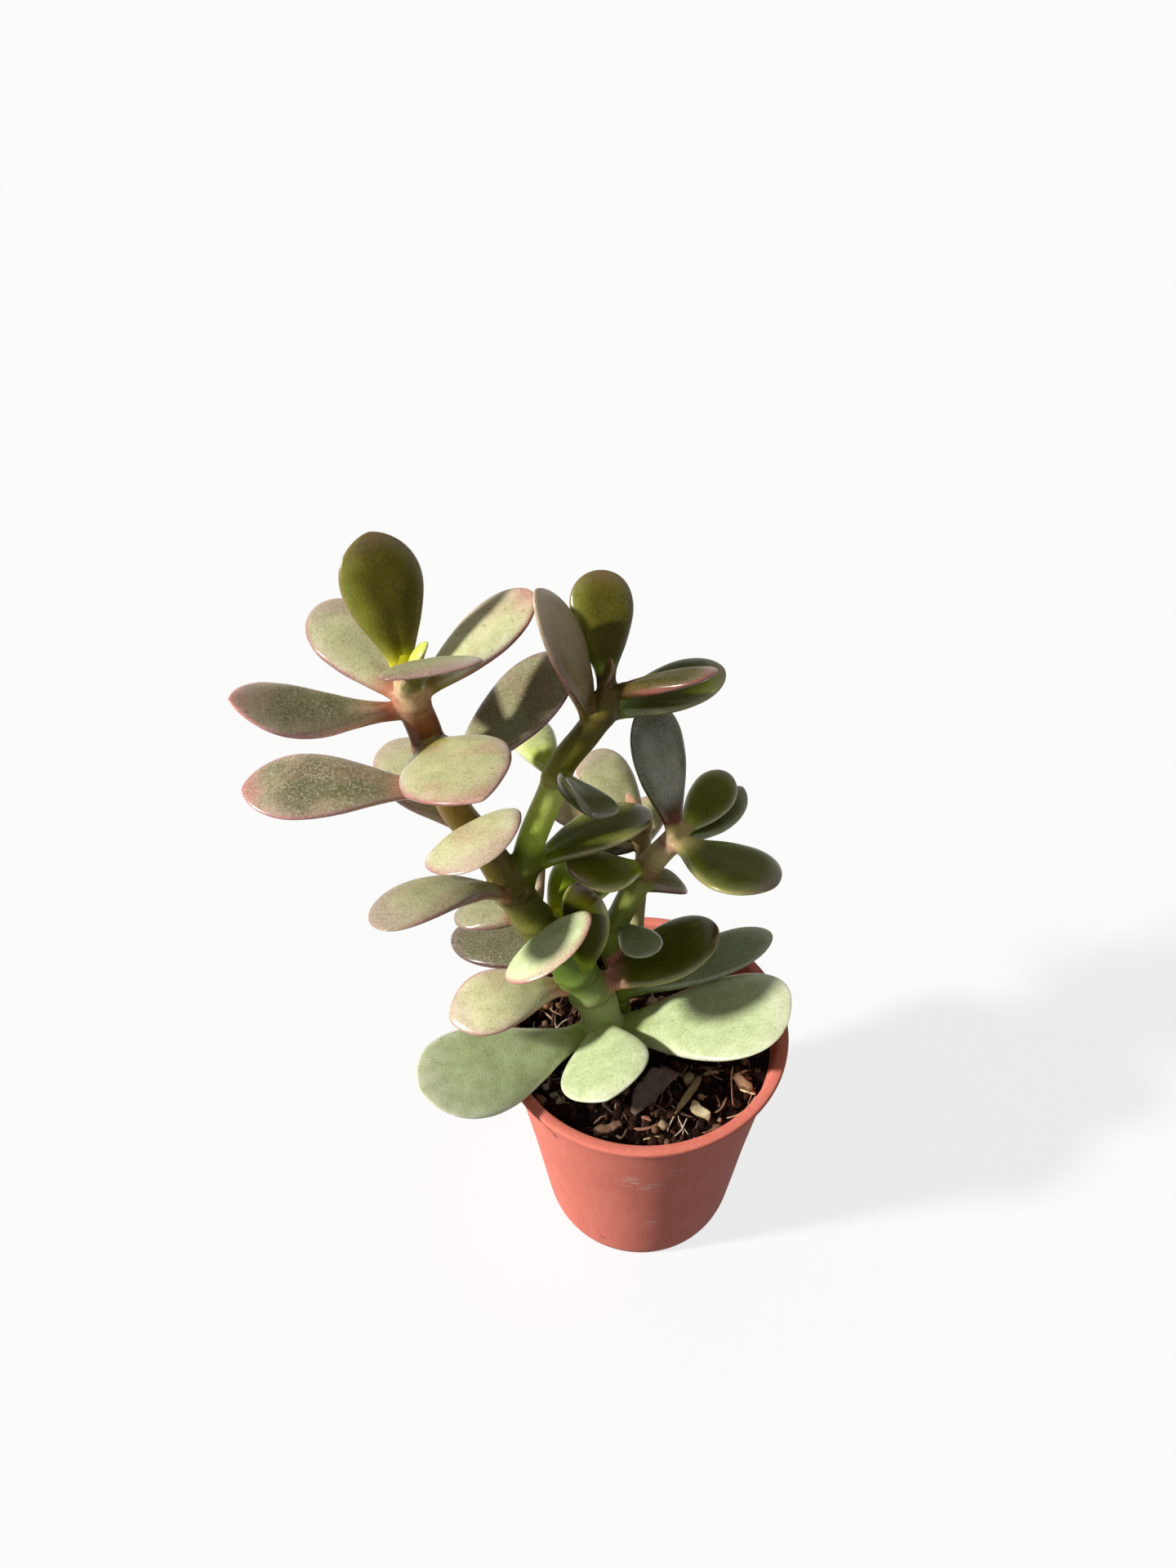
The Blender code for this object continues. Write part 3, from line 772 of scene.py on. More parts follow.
def merged(parts: list) -> tuple[np.ndarray, list]:
    """Put several meshes together.

    Args:
        parts: vertices and faces of each.

    Returns:
        All the vertices, and the faces with their vertices renumbered.
    """
    faces, start = [], 0
    for points, sides in parts:
        faces += [tuple(corner + start for corner in face) for face in sides]
        start += len(points)
    return np.vstack([points for points, _ in parts]), faces


# --- stems ---

@dataclass
class StemWork:
    """The stems and branches, grown together at the forks and round the leaf roots."""
    stems: tuple = STEMS
    leaves: tuple = LEAVES
    sides: int = 28
    spacing: float = 0.8            # between the rings of a tube
    voxel: float = 0.28             # edge of the cells that the parts are fused with
    smoothing: int = 5              # rounds of smoothing after that
    node_swell: float = 0.14        # how much a node stands out, as a share of the radius
    node_length: float = 1.1
    root_start: float = -0.03       # stretch of a leaf that is grown into the stem, as shares
    root_end: float = 0.17          # of its length
    root_section: float = 0.06      # the share whose section its end keeps
    root_swell: float = 1.06        # how much wider it is than the leaf
    root_full: float = 0.7          # the share of it that is full, before it narrows
    root_taper: float = 0.5
    root_rings: int = 8
    root_sides: int = 16
    stalk_start: float = 0.8        # where the petiole's colour begins, in mm along the leaf
    stalk_full: float = 2.4         # and where it is full
    stalk_end: float = 0.4          # the share of the leaf's length where it stops
    scar_length: float = 0.45
    scar_share: float = 0.75
    scar_tint: Colour = (0.62, 0.42, 0.5)
    line: Colour = shade(150, 140, 90)
    fleck: Colour = shade(110, 76, 44)
    pore: Colour = shade(214, 206, 160)
    paths: dict = field(default_factory=dict)

    def trace(self) -> None:
        """Round each stem's axis off and keep it by name."""
        for stem in self.stems:
            self.paths[stem.name] = smooth_path(stem.points, stem.radii, self.spacing)

    def axis_at(self, stem: Stem, height: float) -> tuple[Vector, float, Vector]:
        """Point, radius and direction of a stem's straight-sided axis at a height.

        Args:
            stem: the stem.
            height: the height in mm.

        Returns:
            The point, the radius there and the direction.
        """
        points = [Vector(point) for point in stem.points]
        last = len(points) - 2
        for i in range(len(points) - 1):
            if height <= points[i + 1].z or i == last:
                share = min(max((height - points[i].z) / (points[i + 1].z - points[i].z), 0.0), 1.0)
                radius = stem.radii[i] + share * (stem.radii[i + 1] - stem.radii[i])
                direction = (points[i + 1] - points[i]).normalized()
                return points[i].lerp(points[i + 1], share), radius, direction
        raise ValueError(f"{stem.name} has no point at {height}")

    def tubes(self) -> list:
        """Make the tube of each stem, swollen at its nodes.

        Returns:
            Vertices and faces of each tube.
        """
        made = []
        for stem in self.stems:
            path, radii = self.paths[stem.name]
            swollen = radii.copy()
            for node in stem.nodes:
                swollen *= 1.0 + self.node_swell * np.exp(-((path[:, 2] - node) / self.node_length) ** 2)
            made.append(tube(path, swollen, self.sides))
        return made

    def roots(self, foliage: "Foliage") -> list:
        """Make the root of each leaf, which the stem takes in.

        Args:
            foliage: the leaves, for their places and sections.

        Returns:
            Vertices and faces of each root.
        """
        made = []
        for leaf in self.leaves:
            place = foliage.place(leaf)
            rows = []
            for t in np.linspace(self.root_start, self.root_end, self.root_rings):
                half_width, half_thick = foliage.section(leaf, np.array([max(t, self.root_section)]))
                narrowing = max(0.0, (t - self.root_full * self.root_end) / self.root_end)
                taper = self.root_swell - self.root_taper * narrowing
                for angle in around(self.root_sides):
                    point = Vector((half_width[0] * taper * math.cos(angle), leaf.length * t,
                                    half_thick[0] * taper * math.sin(angle) + leaf.bowed(t)))
                    rows.append(place @ point)
            made.append((np.array(rows), ring_faces(self.root_rings, self.root_sides)))
        return made

    def fuse(self, parts: list) -> tuple[np.ndarray, list]:
        """Grow several closed meshes together into one smooth skin.

        Args:
            parts: vertices and faces of each mesh, in mm.

        Returns:
            Vertices in mm and faces of the skin.
        """
        rough = add_object("stem_parts", make_mesh("stem_parts", *merged(parts)))
        skin = rough.modifiers.new("grow", "REMESH")
        skin.mode = "VOXEL"
        skin.voxel_size = self.voxel * MM
        relax = rough.modifiers.new("relax", "SMOOTH")
        relax.iterations = self.smoothing
        relax.factor = 0.5
        graph = bpy.context.evaluated_depsgraph_get()
        grown = bpy.data.meshes.new_from_object(rough.evaluated_get(graph))
        bpy.data.objects.remove(rough, do_unlink=True)
        flat = np.empty(len(grown.vertices) * 3)
        grown.vertices.foreach_get("co", flat)
        polygons = [tuple(polygon.vertices) for polygon in grown.polygons]
        bpy.data.meshes.remove(grown)
        return flat.reshape(-1, 3) / MM, polygons

    def colours(self, points: np.ndarray, foliage: "Foliage") -> np.ndarray:
        """Colour each point by the stem it lies on and the leaf roots near it.

        Args:
            points: places in mm.
            foliage: the leaves, for their places.

        Returns:
            A colour per point.
        """
        best = np.full(len(points), np.inf)
        result = np.zeros((len(points), 3))
        for stem in self.stems:
            path, radii = self.paths[stem.name]
            gaps = np.linalg.norm(points[:, None, :] - path[None, :, :], axis=2) - radii[None, :]
            nearest = gaps.argmin(axis=1)
            distance = gaps[np.arange(len(points)), nearest]
            height = path[nearest, 2]
            stops = np.array([stop[0] for stop in stem.colours])
            rows = np.array([stop[1] for stop in stem.colours])
            tint = np.column_stack([np.interp(height, stops, rows[:, i]) for i in range(3)])
            for node in stem.nodes:
                scar = np.exp(-((points[:, 2] - node) / self.scar_length) ** 2)
                tint = blend(tint, tint * self.scar_tint, self.scar_share * scar)
            closer = distance < best
            best = np.where(closer, distance, best)
            result[closer] = tint[closer]
        for leaf in self.leaves:
            inverse = np.array(foliage.place(leaf).inverted())
            local = points @ inverse[:3, :3].T + inverse[:3, 3]
            t = local[:, 1] / leaf.length
            half_width, half_thick = foliage.section(leaf, np.clip(t, self.root_section, 0.3))
            inside = (np.abs(local[:, 0]) < half_width * 1.4) & (np.abs(local[:, 2]) < half_thick * 1.8)
            share = ease(self.stalk_start, self.stalk_full, local[:, 1]) * inside * (t < self.stalk_end)
            result = blend(result, leaf.petiole, share)
        return result

    def material(self) -> bpy.types.Material:
        """Smooth green bark with fine lines along it and brownish flecks.

        Returns:
            The material.
        """
        wiring = Wiring("stem_bark")
        lines = wiring.grain(0.5, 4.0, wiring.stretched(1.0, 0.22))
        flecks = wiring.step(wiring.grain(1.1, 4.0), 0.58, 0.72)
        pores = wiring.step(wiring.cells(0.9), 0.1, 0.0)
        colour = wiring.mix(wiring.step(lines, 0.35, 0.65, top=0.18), wiring.painted(TINT), self.line)
        colour = wiring.over(colour, self.fleck, flecks, 0.25)
        colour = wiring.over(colour, self.pore, pores, 0.4)
        wiring.bump(wiring.plus(lines, wiring.times(pores, 0.5)), 0.12, 0.6)
        roughness = wiring.step(lines, 0.3, 0.7, 0.36, 0.54)
        return wiring.finish(colour, roughness, Specular_IOR_Level=0.08, Coat_Weight=0.15,
                             Coat_Roughness=0.3)

    def build(self, foliage: "Foliage") -> bpy.types.Object:
        """Build the stems as one grown skin.

        Args:
            foliage: the leaves, for their roots.

        Returns:
            The piece.
        """
        points, faces = self.fuse(self.tubes() + self.roots(foliage))
        names = tuple(stem.name for stem in self.stems)
        piece = add_piece("stems", points, faces, "stem", names)
        paint(piece, self.colours(points, foliage))
        piece.data.materials.append(self.material())
        return piece


# --- leaves ---

@dataclass
class Foliage:
    """The thick spoon-shaped leaves."""
    stem_work: StemWork
    leaves: tuple = LEAVES
    stations: int = 46
    sides: int = 40
    petiole_share: float = 0.30     # width of the petiole as a share of the blade's
    root_depth: float = 0.6         # how far out of the stem's axis a leaf starts, in radii
    edge_power: float = 0.86        # below 1 the margin is fuller than an ellipse's
    round_off: float = 0.05         # stretch over which the petiole's end is rounded
    groove_depth: float = 0.28      # the groove of the petiole, as a share of the half thickness
    groove_width: float = 0.22      # and of the half width
    waviness: float = 0.16          # unevenness of the faces, mm
    face_gloss: float = 0.04        # weight of the waxy coat on the faces
    margin_gloss: float = 1.0       # and along the margin
    margin_share: float = 0.92      # how much of the margin's, the tip's and the flank's colour shows
    tip_share: float = 0.8
    # share of the painted light on the sunlit left flank
    lit_flank_share: float = 0.8
    warm: Colour = shade(196, 202, 150)
    dull: Colour = shade(190, 186, 140)
    frost: Colour = shade(240, 238, 218)
    pore: Colour = shade(112, 92, 54)
    places: dict = field(default_factory=dict)

    def place(self, leaf: Leaf) -> Matrix:
        """Matrix in mm that sets a leaf on its stem: +Y runs along it and +Z out of its upper face.

        Args:
            leaf: the leaf.

        Returns:
            The matrix.
        """
        if leaf.name not in self.places:
            stem = next(stem for stem in self.stem_work.stems if stem.name == leaf.stem)
            azimuth = math.radians(leaf.azimuth)
            rise = math.radians(leaf.rise)
            flat = Vector((math.cos(azimuth), math.sin(azimuth), 0.0))
            along = flat * math.cos(rise) + Vector((0.0, 0.0, math.sin(rise)))
            axis, radius, direction = self.stem_work.axis_at(stem, leaf.height)
            outward = (along - direction * along.dot(direction)).normalized()
            start = Matrix.Translation(axis + outward * radius * self.root_depth)
            turn = Matrix.Rotation(azimuth - math.pi / 2, 4, "Z") @ Matrix.Rotation(rise, 4, "X")
            roll = Matrix.Rotation(-math.radians(leaf.roll), 4, "Y")
            self.places[leaf.name] = start @ turn @ roll
        return self.places[leaf.name]

    def section(self, leaf: Leaf, t: np.ndarray) -> tuple[np.ndarray, np.ndarray]:
        """Half width and half thickness along a leaf.

        Args:
            leaf: the leaf.
            t: shares of its length.

        Returns:
            The half widths and the half thicknesses.
        """
        a, b = leaf.outline
        widest = a / (a + b)
        peak = widest ** a * (1.0 - widest) ** b
        end = np.sqrt(np.clip(1.0 - (1.0 - np.minimum(t / self.round_off, 1.0)) ** 2, 0.0, 1.0))
        blade = t ** a * (1.0 - t) ** b / peak
        petiole = self.petiole_share * end * (1.0 - t) ** 1.5
        half_width = leaf.width / 2 * np.sqrt(petiole ** 2 + blade ** 2)
        swell = 0.75 + 0.25 * np.sin(np.pi * np.minimum(t * 1.2, 1.0))
        half_thick = leaf.thick / 2 * end * np.sqrt(np.clip(1.0 - t ** 3, 0.0, 1.0)) * swell
        return half_width, half_thick

    def shape(self, leaf: Leaf, seed: int) -> tuple[np.ndarray, list, dict]:
        """Vertices and faces of a leaf, and where each vertex lies on it.

        Args:
            leaf: the leaf.
            seed: moves its unevenness.

        Returns:
            Vertices in mm, faces, and arrays of the share along it (`t`), the
            place across it (`side`) and the place between its faces (`lift`).
        """
        turn = np.linspace(0.0, np.pi, self.stations + 1)
        t = np.repeat((1.0 - np.cos(turn)) / 2.0, self.sides)
        angle = np.tile(around(self.sides), self.stations + 1)
        side, lift = np.cos(angle), np.sin(angle)
        half_width, half_thick = self.section(leaf, t)
        fuller = np.sign(lift) * np.abs(lift) ** self.edge_power
        groove = self.groove_depth * np.exp(-(side / self.groove_width) ** 2) * (1.0 - t) ** 2
        groove *= (lift > 0.0) * np.minimum(t / 0.06, 1.0)
        height = half_thick * (fuller - groove) + leaf.cup * half_width * side ** 2
        height += leaf.bowed(t)
        local = np.column_stack([half_width * side, leaf.length * t, height])
        ends = np.sin(np.pi * np.clip(t, 0.0, 1.0)) ** 0.5
        uneven = ripple(local, 5.0, seed) + 0.4 * ripple(local, 1.8, seed + 31)
        local[:, 2] += self.waviness * uneven * ends * np.sign(lift) * np.abs(lift) ** 0.5
        local[:, 0] += 0.6 * self.waviness * ripple(local, 4.0, seed + 67) * ends * side
        matrix = np.array(self.place(leaf))
        points = local @ matrix[:3, :3].T + matrix[:3, 3]
        return points, ring_faces(self.stations + 1, self.sides), {"t": t, "side": side, "lift": lift}

    def colours(self, leaf: Leaf, where: dict, points: np.ndarray, seed: int) -> np.ndarray:
        """Colour of each vertex of a leaf.

        Args:
            leaf: the leaf.
            where: the arrays that `shape` returns.
            points: the vertices in mm.
            seed: moves the blotches.

        Returns:
            A colour per vertex.
        """
        finish = leaf.kind.value
        t, side, lift = where["t"], where["side"], where["lift"]
        above = lift > 0.0
        rows = np.tile(np.array(finish.under), (len(t), 1))
        rows = blend(rows, finish.upper, ease(-0.25, 0.2, lift))
        blotch = ripple(points, 3.5, seed + 5)
        # the heart colour is the leaf's own darker or paler middle; for the ASH kind it is a painted sheen
        heart = (1.0 - ease(0.45, 1.0, np.abs(side) + 0.2 * blotch)) * ease(0.1, 0.35, t) * above
        rows = blend(rows, finish.heart, heart * (1.0 - ease(0.7, 0.95, t)))
        patch = ease(0.0, 0.45, ripple(points, 6.5, seed + 41) + 0.4 * blotch) * (lift > -0.2)
        rows = blend(rows, finish.margin, finish.blush * patch)
        # painted light: the left flank of the leaf, where the sun falls, takes a paler, greener colour
        if finish.lit_flank is not None:
            lit_flank = self.lit_flank_share * ease(0.1, 0.9, 0.2 * blotch - side) * above
            rows = blend(rows, finish.lit_flank, lit_flank)
        rows = rows * (1.0 + finish.mottle * blotch)[:, None]
        root = np.array(leaf.petiole) / leaf.tone       # the leaf's tone comes last
        rows = blend(rows, root, 1.0 - ease(0.3 * finish.petiole_end, finish.petiole_end, t))
        inward = np.abs(lift) * (0.35 + 0.65 * np.sin(np.pi * t) ** 0.5)
        edge = 1.0 - ease(0.1, finish.margin_width + 0.1, inward)
        rows = blend(rows, finish.margin, self.margin_share * edge * ease(0.12, 0.4, t))
        # the tip colour is the leaf's own; for the HUSK kind its pale tip half is painted light
        tip = ease(finish.tip_start, 1.0, t + 0.03 * blotch)
        rows = blend(rows, finish.tip, self.tip_share * tip)
        # the tone is partly the leaf's own and partly painted light and painted shade for the sun it gets
        return np.clip(rows * leaf.tone, 0.0, 1.0)

    def material(self) -> bpy.types.Material:
        """Waxy skin: blotches, a fine silvery bloom, darker pores and a soft gloss.

        Returns:
            The material.
        """
        wiring = Wiring("leaf_skin")
        bloom = wiring.painted(BLOOM, "Fac")
        gloss = wiring.painted(GLOSS, "Fac")
        broad = wiring.grain(2.2, 4.0)
        fine = wiring.grain(0.42, 3.0, rough=0.68)
        dots = wiring.step(fine, 0.44, 0.74)
        patches = wiring.step(broad, 0.36, 0.64, 0.45, 1.0)
        pores = wiring.step(wiring.grain(0.8, 2.0), 0.64, 0.76)
        colour = wiring.painted(TINT)
        colour = wiring.mix(wiring.step(broad, 0.36, 0.66, top=0.34), colour, self.warm, "MULTIPLY")
        colour = wiring.mix(wiring.step(fine, 0.58, 0.34, top=0.24), colour, self.dull, "MULTIPLY")
        dusting = wiring.times(wiring.times(dots, patches), bloom)
        colour = wiring.over(colour, self.frost, dusting, 0.5)
        colour = wiring.over(colour, self.pore, pores, 0.46)
        wiring.bump(wiring.plus(fine, wiring.times(broad, 0.6)), 0.09, 0.6)
        roughness = wiring.plus(wiring.step(fine, 0.3, 0.7, 0.36, 0.48), wiring.times(bloom, 0.16))
        return wiring.finish(colour, roughness, Specular_IOR_Level=0.06, Coat_Weight=gloss,
                             Coat_Roughness=0.22, Subsurface_Weight=0.1,
                             Subsurface_Radius=(1.0, 1.2, 0.3), Subsurface_Scale=1.2 * MM)

    def build(self) -> None:
        """Build each leaf as a piece of its own."""
        skin = self.material()
        for number, leaf in enumerate(self.leaves):
            points, faces, where = self.shape(leaf, number * 13 + 2)
            piece = add_piece(leaf.name + "_skin", points, faces, "leaf", (leaf.name,))
            paint(piece, self.colours(leaf, where, points, number))
            amount = leaf.kind.value.bloom * (0.35 + 0.65 * ease(-0.2, 0.3, where["lift"]))
            weigh(piece, amount * ease(0.1, 0.4, where["t"]), BLOOM)
            rim = 1.0 - ease(0.25, 0.75, np.abs(where["lift"]) * np.sin(np.pi * where["t"]) ** 0.5)
            weigh(piece, self.face_gloss + (self.margin_gloss - self.face_gloss) * rim, GLOSS)
            piece.data.materials.append(skin)


# --- pot ---

@dataclass
class Pot:
    """The small tapered nursery pot of reddish plastic."""
    height: float = 53.0
    rim_radius: float = 27.5
    mouth_radius: float = 25.6
    rim_thickness: float = 1.2
    wall: float = 1.0
    floor: float = 1.4
    foot_radius: float = 18.2
    recess: float = 0.5             # how far the foot is hollowed
    gate_radius: float = 0.4        # the closed middle of the floor
    oval: float = 0.06              # how far the thin wall is out of round
    sides: int = 180
    holes: int = 6
    hole_radius: float = 2.0
    hole_circle: float = 11.5
    drill_sides: int = 24
    outside: tuple = ((26.0, 51.2), (25.1, 46.5), (24.0, 38.0), (22.2, 25.0), (20.4, 10.0), (19.5, 3.0),
                      (18.9, 0.8))      # radius and height of the wall, from the rim down
    colour: Colour = shade(244, 140, 122)
    deep: Colour = shade(220, 108, 92)
    scuff: Colour = shade(252, 218, 208)
    nick: Colour = shade(96, 48, 38)
    dirt: Colour = shade(92, 44, 34)
    # place, reach and strength of each scrape
    scrapes: tuple = (((-3.5, -23.8, 38.0), 3.6, 0.9), ((0.5, -23.6, 36.0), 3.4, 0.9),
                      ((1.0, -21.3, 17.0), 2.6, 0.8), ((-23.5, -8.6, 42.0), 3.4, 0.6),
                      ((5.0, -23.2, 41.0), 2.6, 0.7))
    # place and reach of each nick
    nicks: tuple = (((-18.3, -17.6, 46.5), 1.7), ((-16.9, -18.6, 45.4), 1.3), ((-8.5, -19.0, 6.0), 1.6))

    def profile(self) -> list:
        """Closed section of the pot, from the mouth over the rim, down the outside and up the inside.

        Returns:
            (radius, height) of each point.
        """
        top, under = self.height, self.height - self.rim_thickness
        mouth, edge, foot = self.mouth_radius, self.rim_radius, self.foot_radius
        rim = [(mouth - 0.3, top - 0.5), (mouth - 0.12, top - 0.15), (mouth + 0.12, top),
               (edge - 0.35, top), (edge - 0.1, top - 0.1), (edge, top - 0.35),
               (edge, under + 0.3), (edge - 0.12, under + 0.05), (edge - 0.4, under)]
        path, _ = smooth_path([(r, 0.0, h) for r, h in self.outside], [1.0] * len(self.outside), 1.0)
        wall = [(point[0], point[2]) for point in path]
        base = [(foot + 0.3, 0.2), (foot - 0.1, 0.0), (foot - 1.2, 0.0), (foot - 1.6, self.recess),
                (self.gate_radius, self.recess)]
        inner = [(r - self.wall, h) for r, h in reversed(wall) if self.floor + 0.6 < h < top - 2.5]
        floor = [(self.gate_radius, self.floor), (inner[0][0] - 0.6, self.floor)]
        return rim + wall + base + floor + inner

    def material(self) -> bpy.types.Material:
        """Satin moulded plastic with faint streaks, scuffs, dust and soil marks.

        Returns:
            The material.
        """
        wiring = Wiring("pot_plastic")
        mottle = wiring.grain(9.0, 3.0)
        streaks = wiring.grain(1.2, 4.0, wiring.stretched(1.0, 0.05))
        fine = wiring.grain(0.4, 2.0)
        colour = wiring.mix(wiring.step(mottle, 0.3, 0.7, top=0.25), self.colour, self.deep)
        colour = wiring.mix(wiring.step(streaks, 0.4, 0.68, top=0.22), colour, self.deep)
        scratches = wiring.step(wiring.grain(1.0, 5.0, wiring.stretched(0.16, 2.2), 0.7), 0.64, 0.72)
        patches = wiring.step(wiring.grain(7.0, 2.0), 0.52, 0.64)
        worn = wiring.times(scratches, patches)
        colour = wiring.over(colour, self.scuff, worn, 0.45)
        dust = wiring.step(wiring.grain(0.55, 1.0), 0.72, 0.78)
        colour = wiring.over(colour, self.scuff, dust, 0.5)
        scraped = wiring.step(wiring.grain(0.9, 5.0, wiring.stretched(0.24, 2.0), 0.75), 0.52, 0.6)
        for point, reach, share in self.scrapes:
            mark = wiring.times(wiring.near(point, reach), scraped)
            colour = wiring.over(colour, self.scuff, mark, share)
        for point, reach in self.nicks:
            mark = wiring.times(wiring.near(point, reach), fine)
            colour = wiring.mix(mark, colour, self.nick)
        dirt = wiring.step(wiring.grain(1.4, 3.0), 0.71, 0.76)
        colour = wiring.over(colour, self.dirt, dirt, 0.6)
        wiring.bump(wiring.plus(fine, wiring.times(worn, 0.6)), 0.05, 0.35)
        roughness = wiring.plus(wiring.step(mottle, 0.3, 0.7, 0.3, 0.42), wiring.times(worn, 0.2))
        return wiring.finish(colour, roughness, Specular_IOR_Level=0.0, Coat_Weight=0.12,
                             Coat_Roughness=0.22)

    def build(self) -> bpy.types.Object:
        """Turn the section about the pot's axis and bore the drain holes.

        Returns:
            The piece.
        """
        section = self.profile()
        angles = around(self.sides)
        rows = []
        for radius, height in section:
            reach = radius + self.oval * np.sin(2 * angles + 0.6) * min(height / 30.0, 1.0)
            rows.append(np.column_stack([reach * np.cos(angles), reach * np.sin(angles),
                                         np.full(self.sides, height)]))
        faces = []
        for i in range(len(section)):
            here, after = i * self.sides, (i + 1) % len(section) * self.sides
            for j in range(self.sides):
                k = (j + 1) % self.sides
                faces.append((here + k, here + j, after + j, after + k))
        piece = add_piece("pot_shell", np.vstack(rows), faces, "pot", ("pot",))
        self.bore(piece)
        piece.data.materials.append(self.material())
        return piece

    def bore(self, piece: bpy.types.Object) -> None:
        """Cut the drain holes through the floor.

        Args:
            piece: the pot.
        """
        for i in range(self.holes):
            angle = math.tau * (i + 0.5) / self.holes
            x, y = self.hole_circle * math.cos(angle), self.hole_circle * math.sin(angle)
            path = np.array([(x, y, height) for height in (-2.0, 0.0, 4.0)])
            points, faces = tube(path, np.full(len(path), self.hole_radius), self.drill_sides)
            tool = add_object("drain_tool", make_mesh("drain_tool", points, faces))
            drill = piece.modifiers.new("drill", "BOOLEAN")
            drill.operation = "DIFFERENCE"
            drill.solver = "EXACT"
            drill.object = tool
            graph = bpy.context.evaluated_depsgraph_get()
            cut = bpy.data.meshes.new_from_object(piece.evaluated_get(graph))
            piece.modifiers.clear()
            piece.data = cut
            bpy.data.objects.remove(tool, do_unlink=True)


# --- compost and what lies on it ---

@dataclass(frozen=True)
class Strand:
    """A root, straw or twig on the compost: its two ends in plan, radius and colour.

    `sway` bows it sideways, `rise` lifts its far end and `flat` is its height
    as a share of its width.
    """
    start: tuple
    end: tuple
    radius: float
    colour: Colour
    sway: float = 0.0
    rise: float = 0.0
    flat: float = 0.7


@dataclass(frozen=True)
class Lump:
    """A lump of bark, root or grit on the compost: its place in plan, size and colour."""
    place: tuple
    size: float
    colour: Colour


ROOT = shade(232, 212, 186)
STRAW = shade(204, 172, 132)
TWIG = shade(170, 118, 94)
BARK = shade(142, 100, 76)
GRIT = shade(200, 190, 178)
BLOTCH = shade(74, 54, 44)
FUZZ = shade(196, 176, 152)

STRANDS = (
    # pale rootlets in front of the straw blade
    Strand((3.7, -19.9), (6.2, -15.6), 0.13, ROOT, sway=0.4, rise=0.3),
    Strand((4.8, -21.1), (7.3, -17.6), 0.12, ROOT, sway=-0.3, rise=0.5),
    Strand((7.6, -20.7), (5.7, -17.0), 0.11, ROOT, sway=0.3, rise=0.6),
    Strand((6.3, -20.9), (6.1, -18.6), 0.10, ROOT, sway=-0.2, rise=0.2),
    Strand((5.9, -16.3), (4.6, -14.6), 0.12, ROOT, rise=0.3),
    # straws and needles on the right
    Strand((16.0, -15.1), (16.5, -7.8), 0.14, TWIG, sway=0.3, rise=1.6),
    Strand((17.6, -11.2), (20.4, -12.4), 0.42, shade(240, 212, 164), rise=0.2),
    Strand((14.6, -17.4), (20.3, -13.0), 0.2, shade(206, 168, 132), sway=-0.9, rise=0.5),
    Strand((17.2, -9.7), (20.0, -9.2), 0.4, BARK, sway=0.2),
    Strand((16.9, -8.3), (19.4, -7.4), 0.3, TWIG, sway=-0.2),
    Strand((10.4, -8.6), (14.0, -7.9), 0.34, shade(164, 142, 112), sway=0.3),
    Strand((12.6, -11.8), (13.4, -15.2), 0.16, BARK, sway=0.3),
    Strand((11.9, -6.9), (14.8, -9.6), 0.12, STRAW, sway=-0.3, rise=0.4),
    Strand((18.8, -14.6), (20.6, -11.0), 0.12, TWIG, sway=0.2, rise=0.4),
    # twigs and bark at the front
    Strand((-3.4, -18.7), (2.1, -18.3), 0.34, TWIG, sway=-1.0),
    Strand((-1.0, -17.1), (0.8, -17.9), 0.45, shade(156, 104, 86), sway=0.2),
    Strand((-1.8, -16.4), (-0.4, -14.8), 0.3, BARK, sway=0.2),
    Strand((-11.6, -20.4), (-8.0, -21.2), 0.42, BARK, sway=-0.2),
    Strand((-8.2, -20.9), (-4.5, -21.2), 0.36, shade(156, 134, 114), sway=0.3),
    Strand((-9.6, -18.2), (-7.2, -16.4), 0.24, BARK, sway=0.3),
    Strand((-0.8, -21.6), (2.4, -21.0), 0.2, STRAW, sway=0.2),
    Strand((9.5, -20.6), (12.4, -19.4), 0.14, TWIG, sway=-0.2, rise=0.3),
    # roots at the left, behind the lowest leaf
    Strand((-20.2, 7.5), (-16.5, 2.3), 0.2, shade(214, 166, 136), sway=0.9, rise=0.2),
    Strand((-21.0, 5.0), (-20.2, 1.4), 0.16, ROOT, sway=-0.3),
    Strand((-18.4, 8.6), (-15.4, 6.0), 0.16, shade(190, 140, 116), sway=-0.4),
    Strand((-17.4, 1.0), (-14.2, 4.8), 0.14, ROOT, sway=0.5, rise=0.3),
)

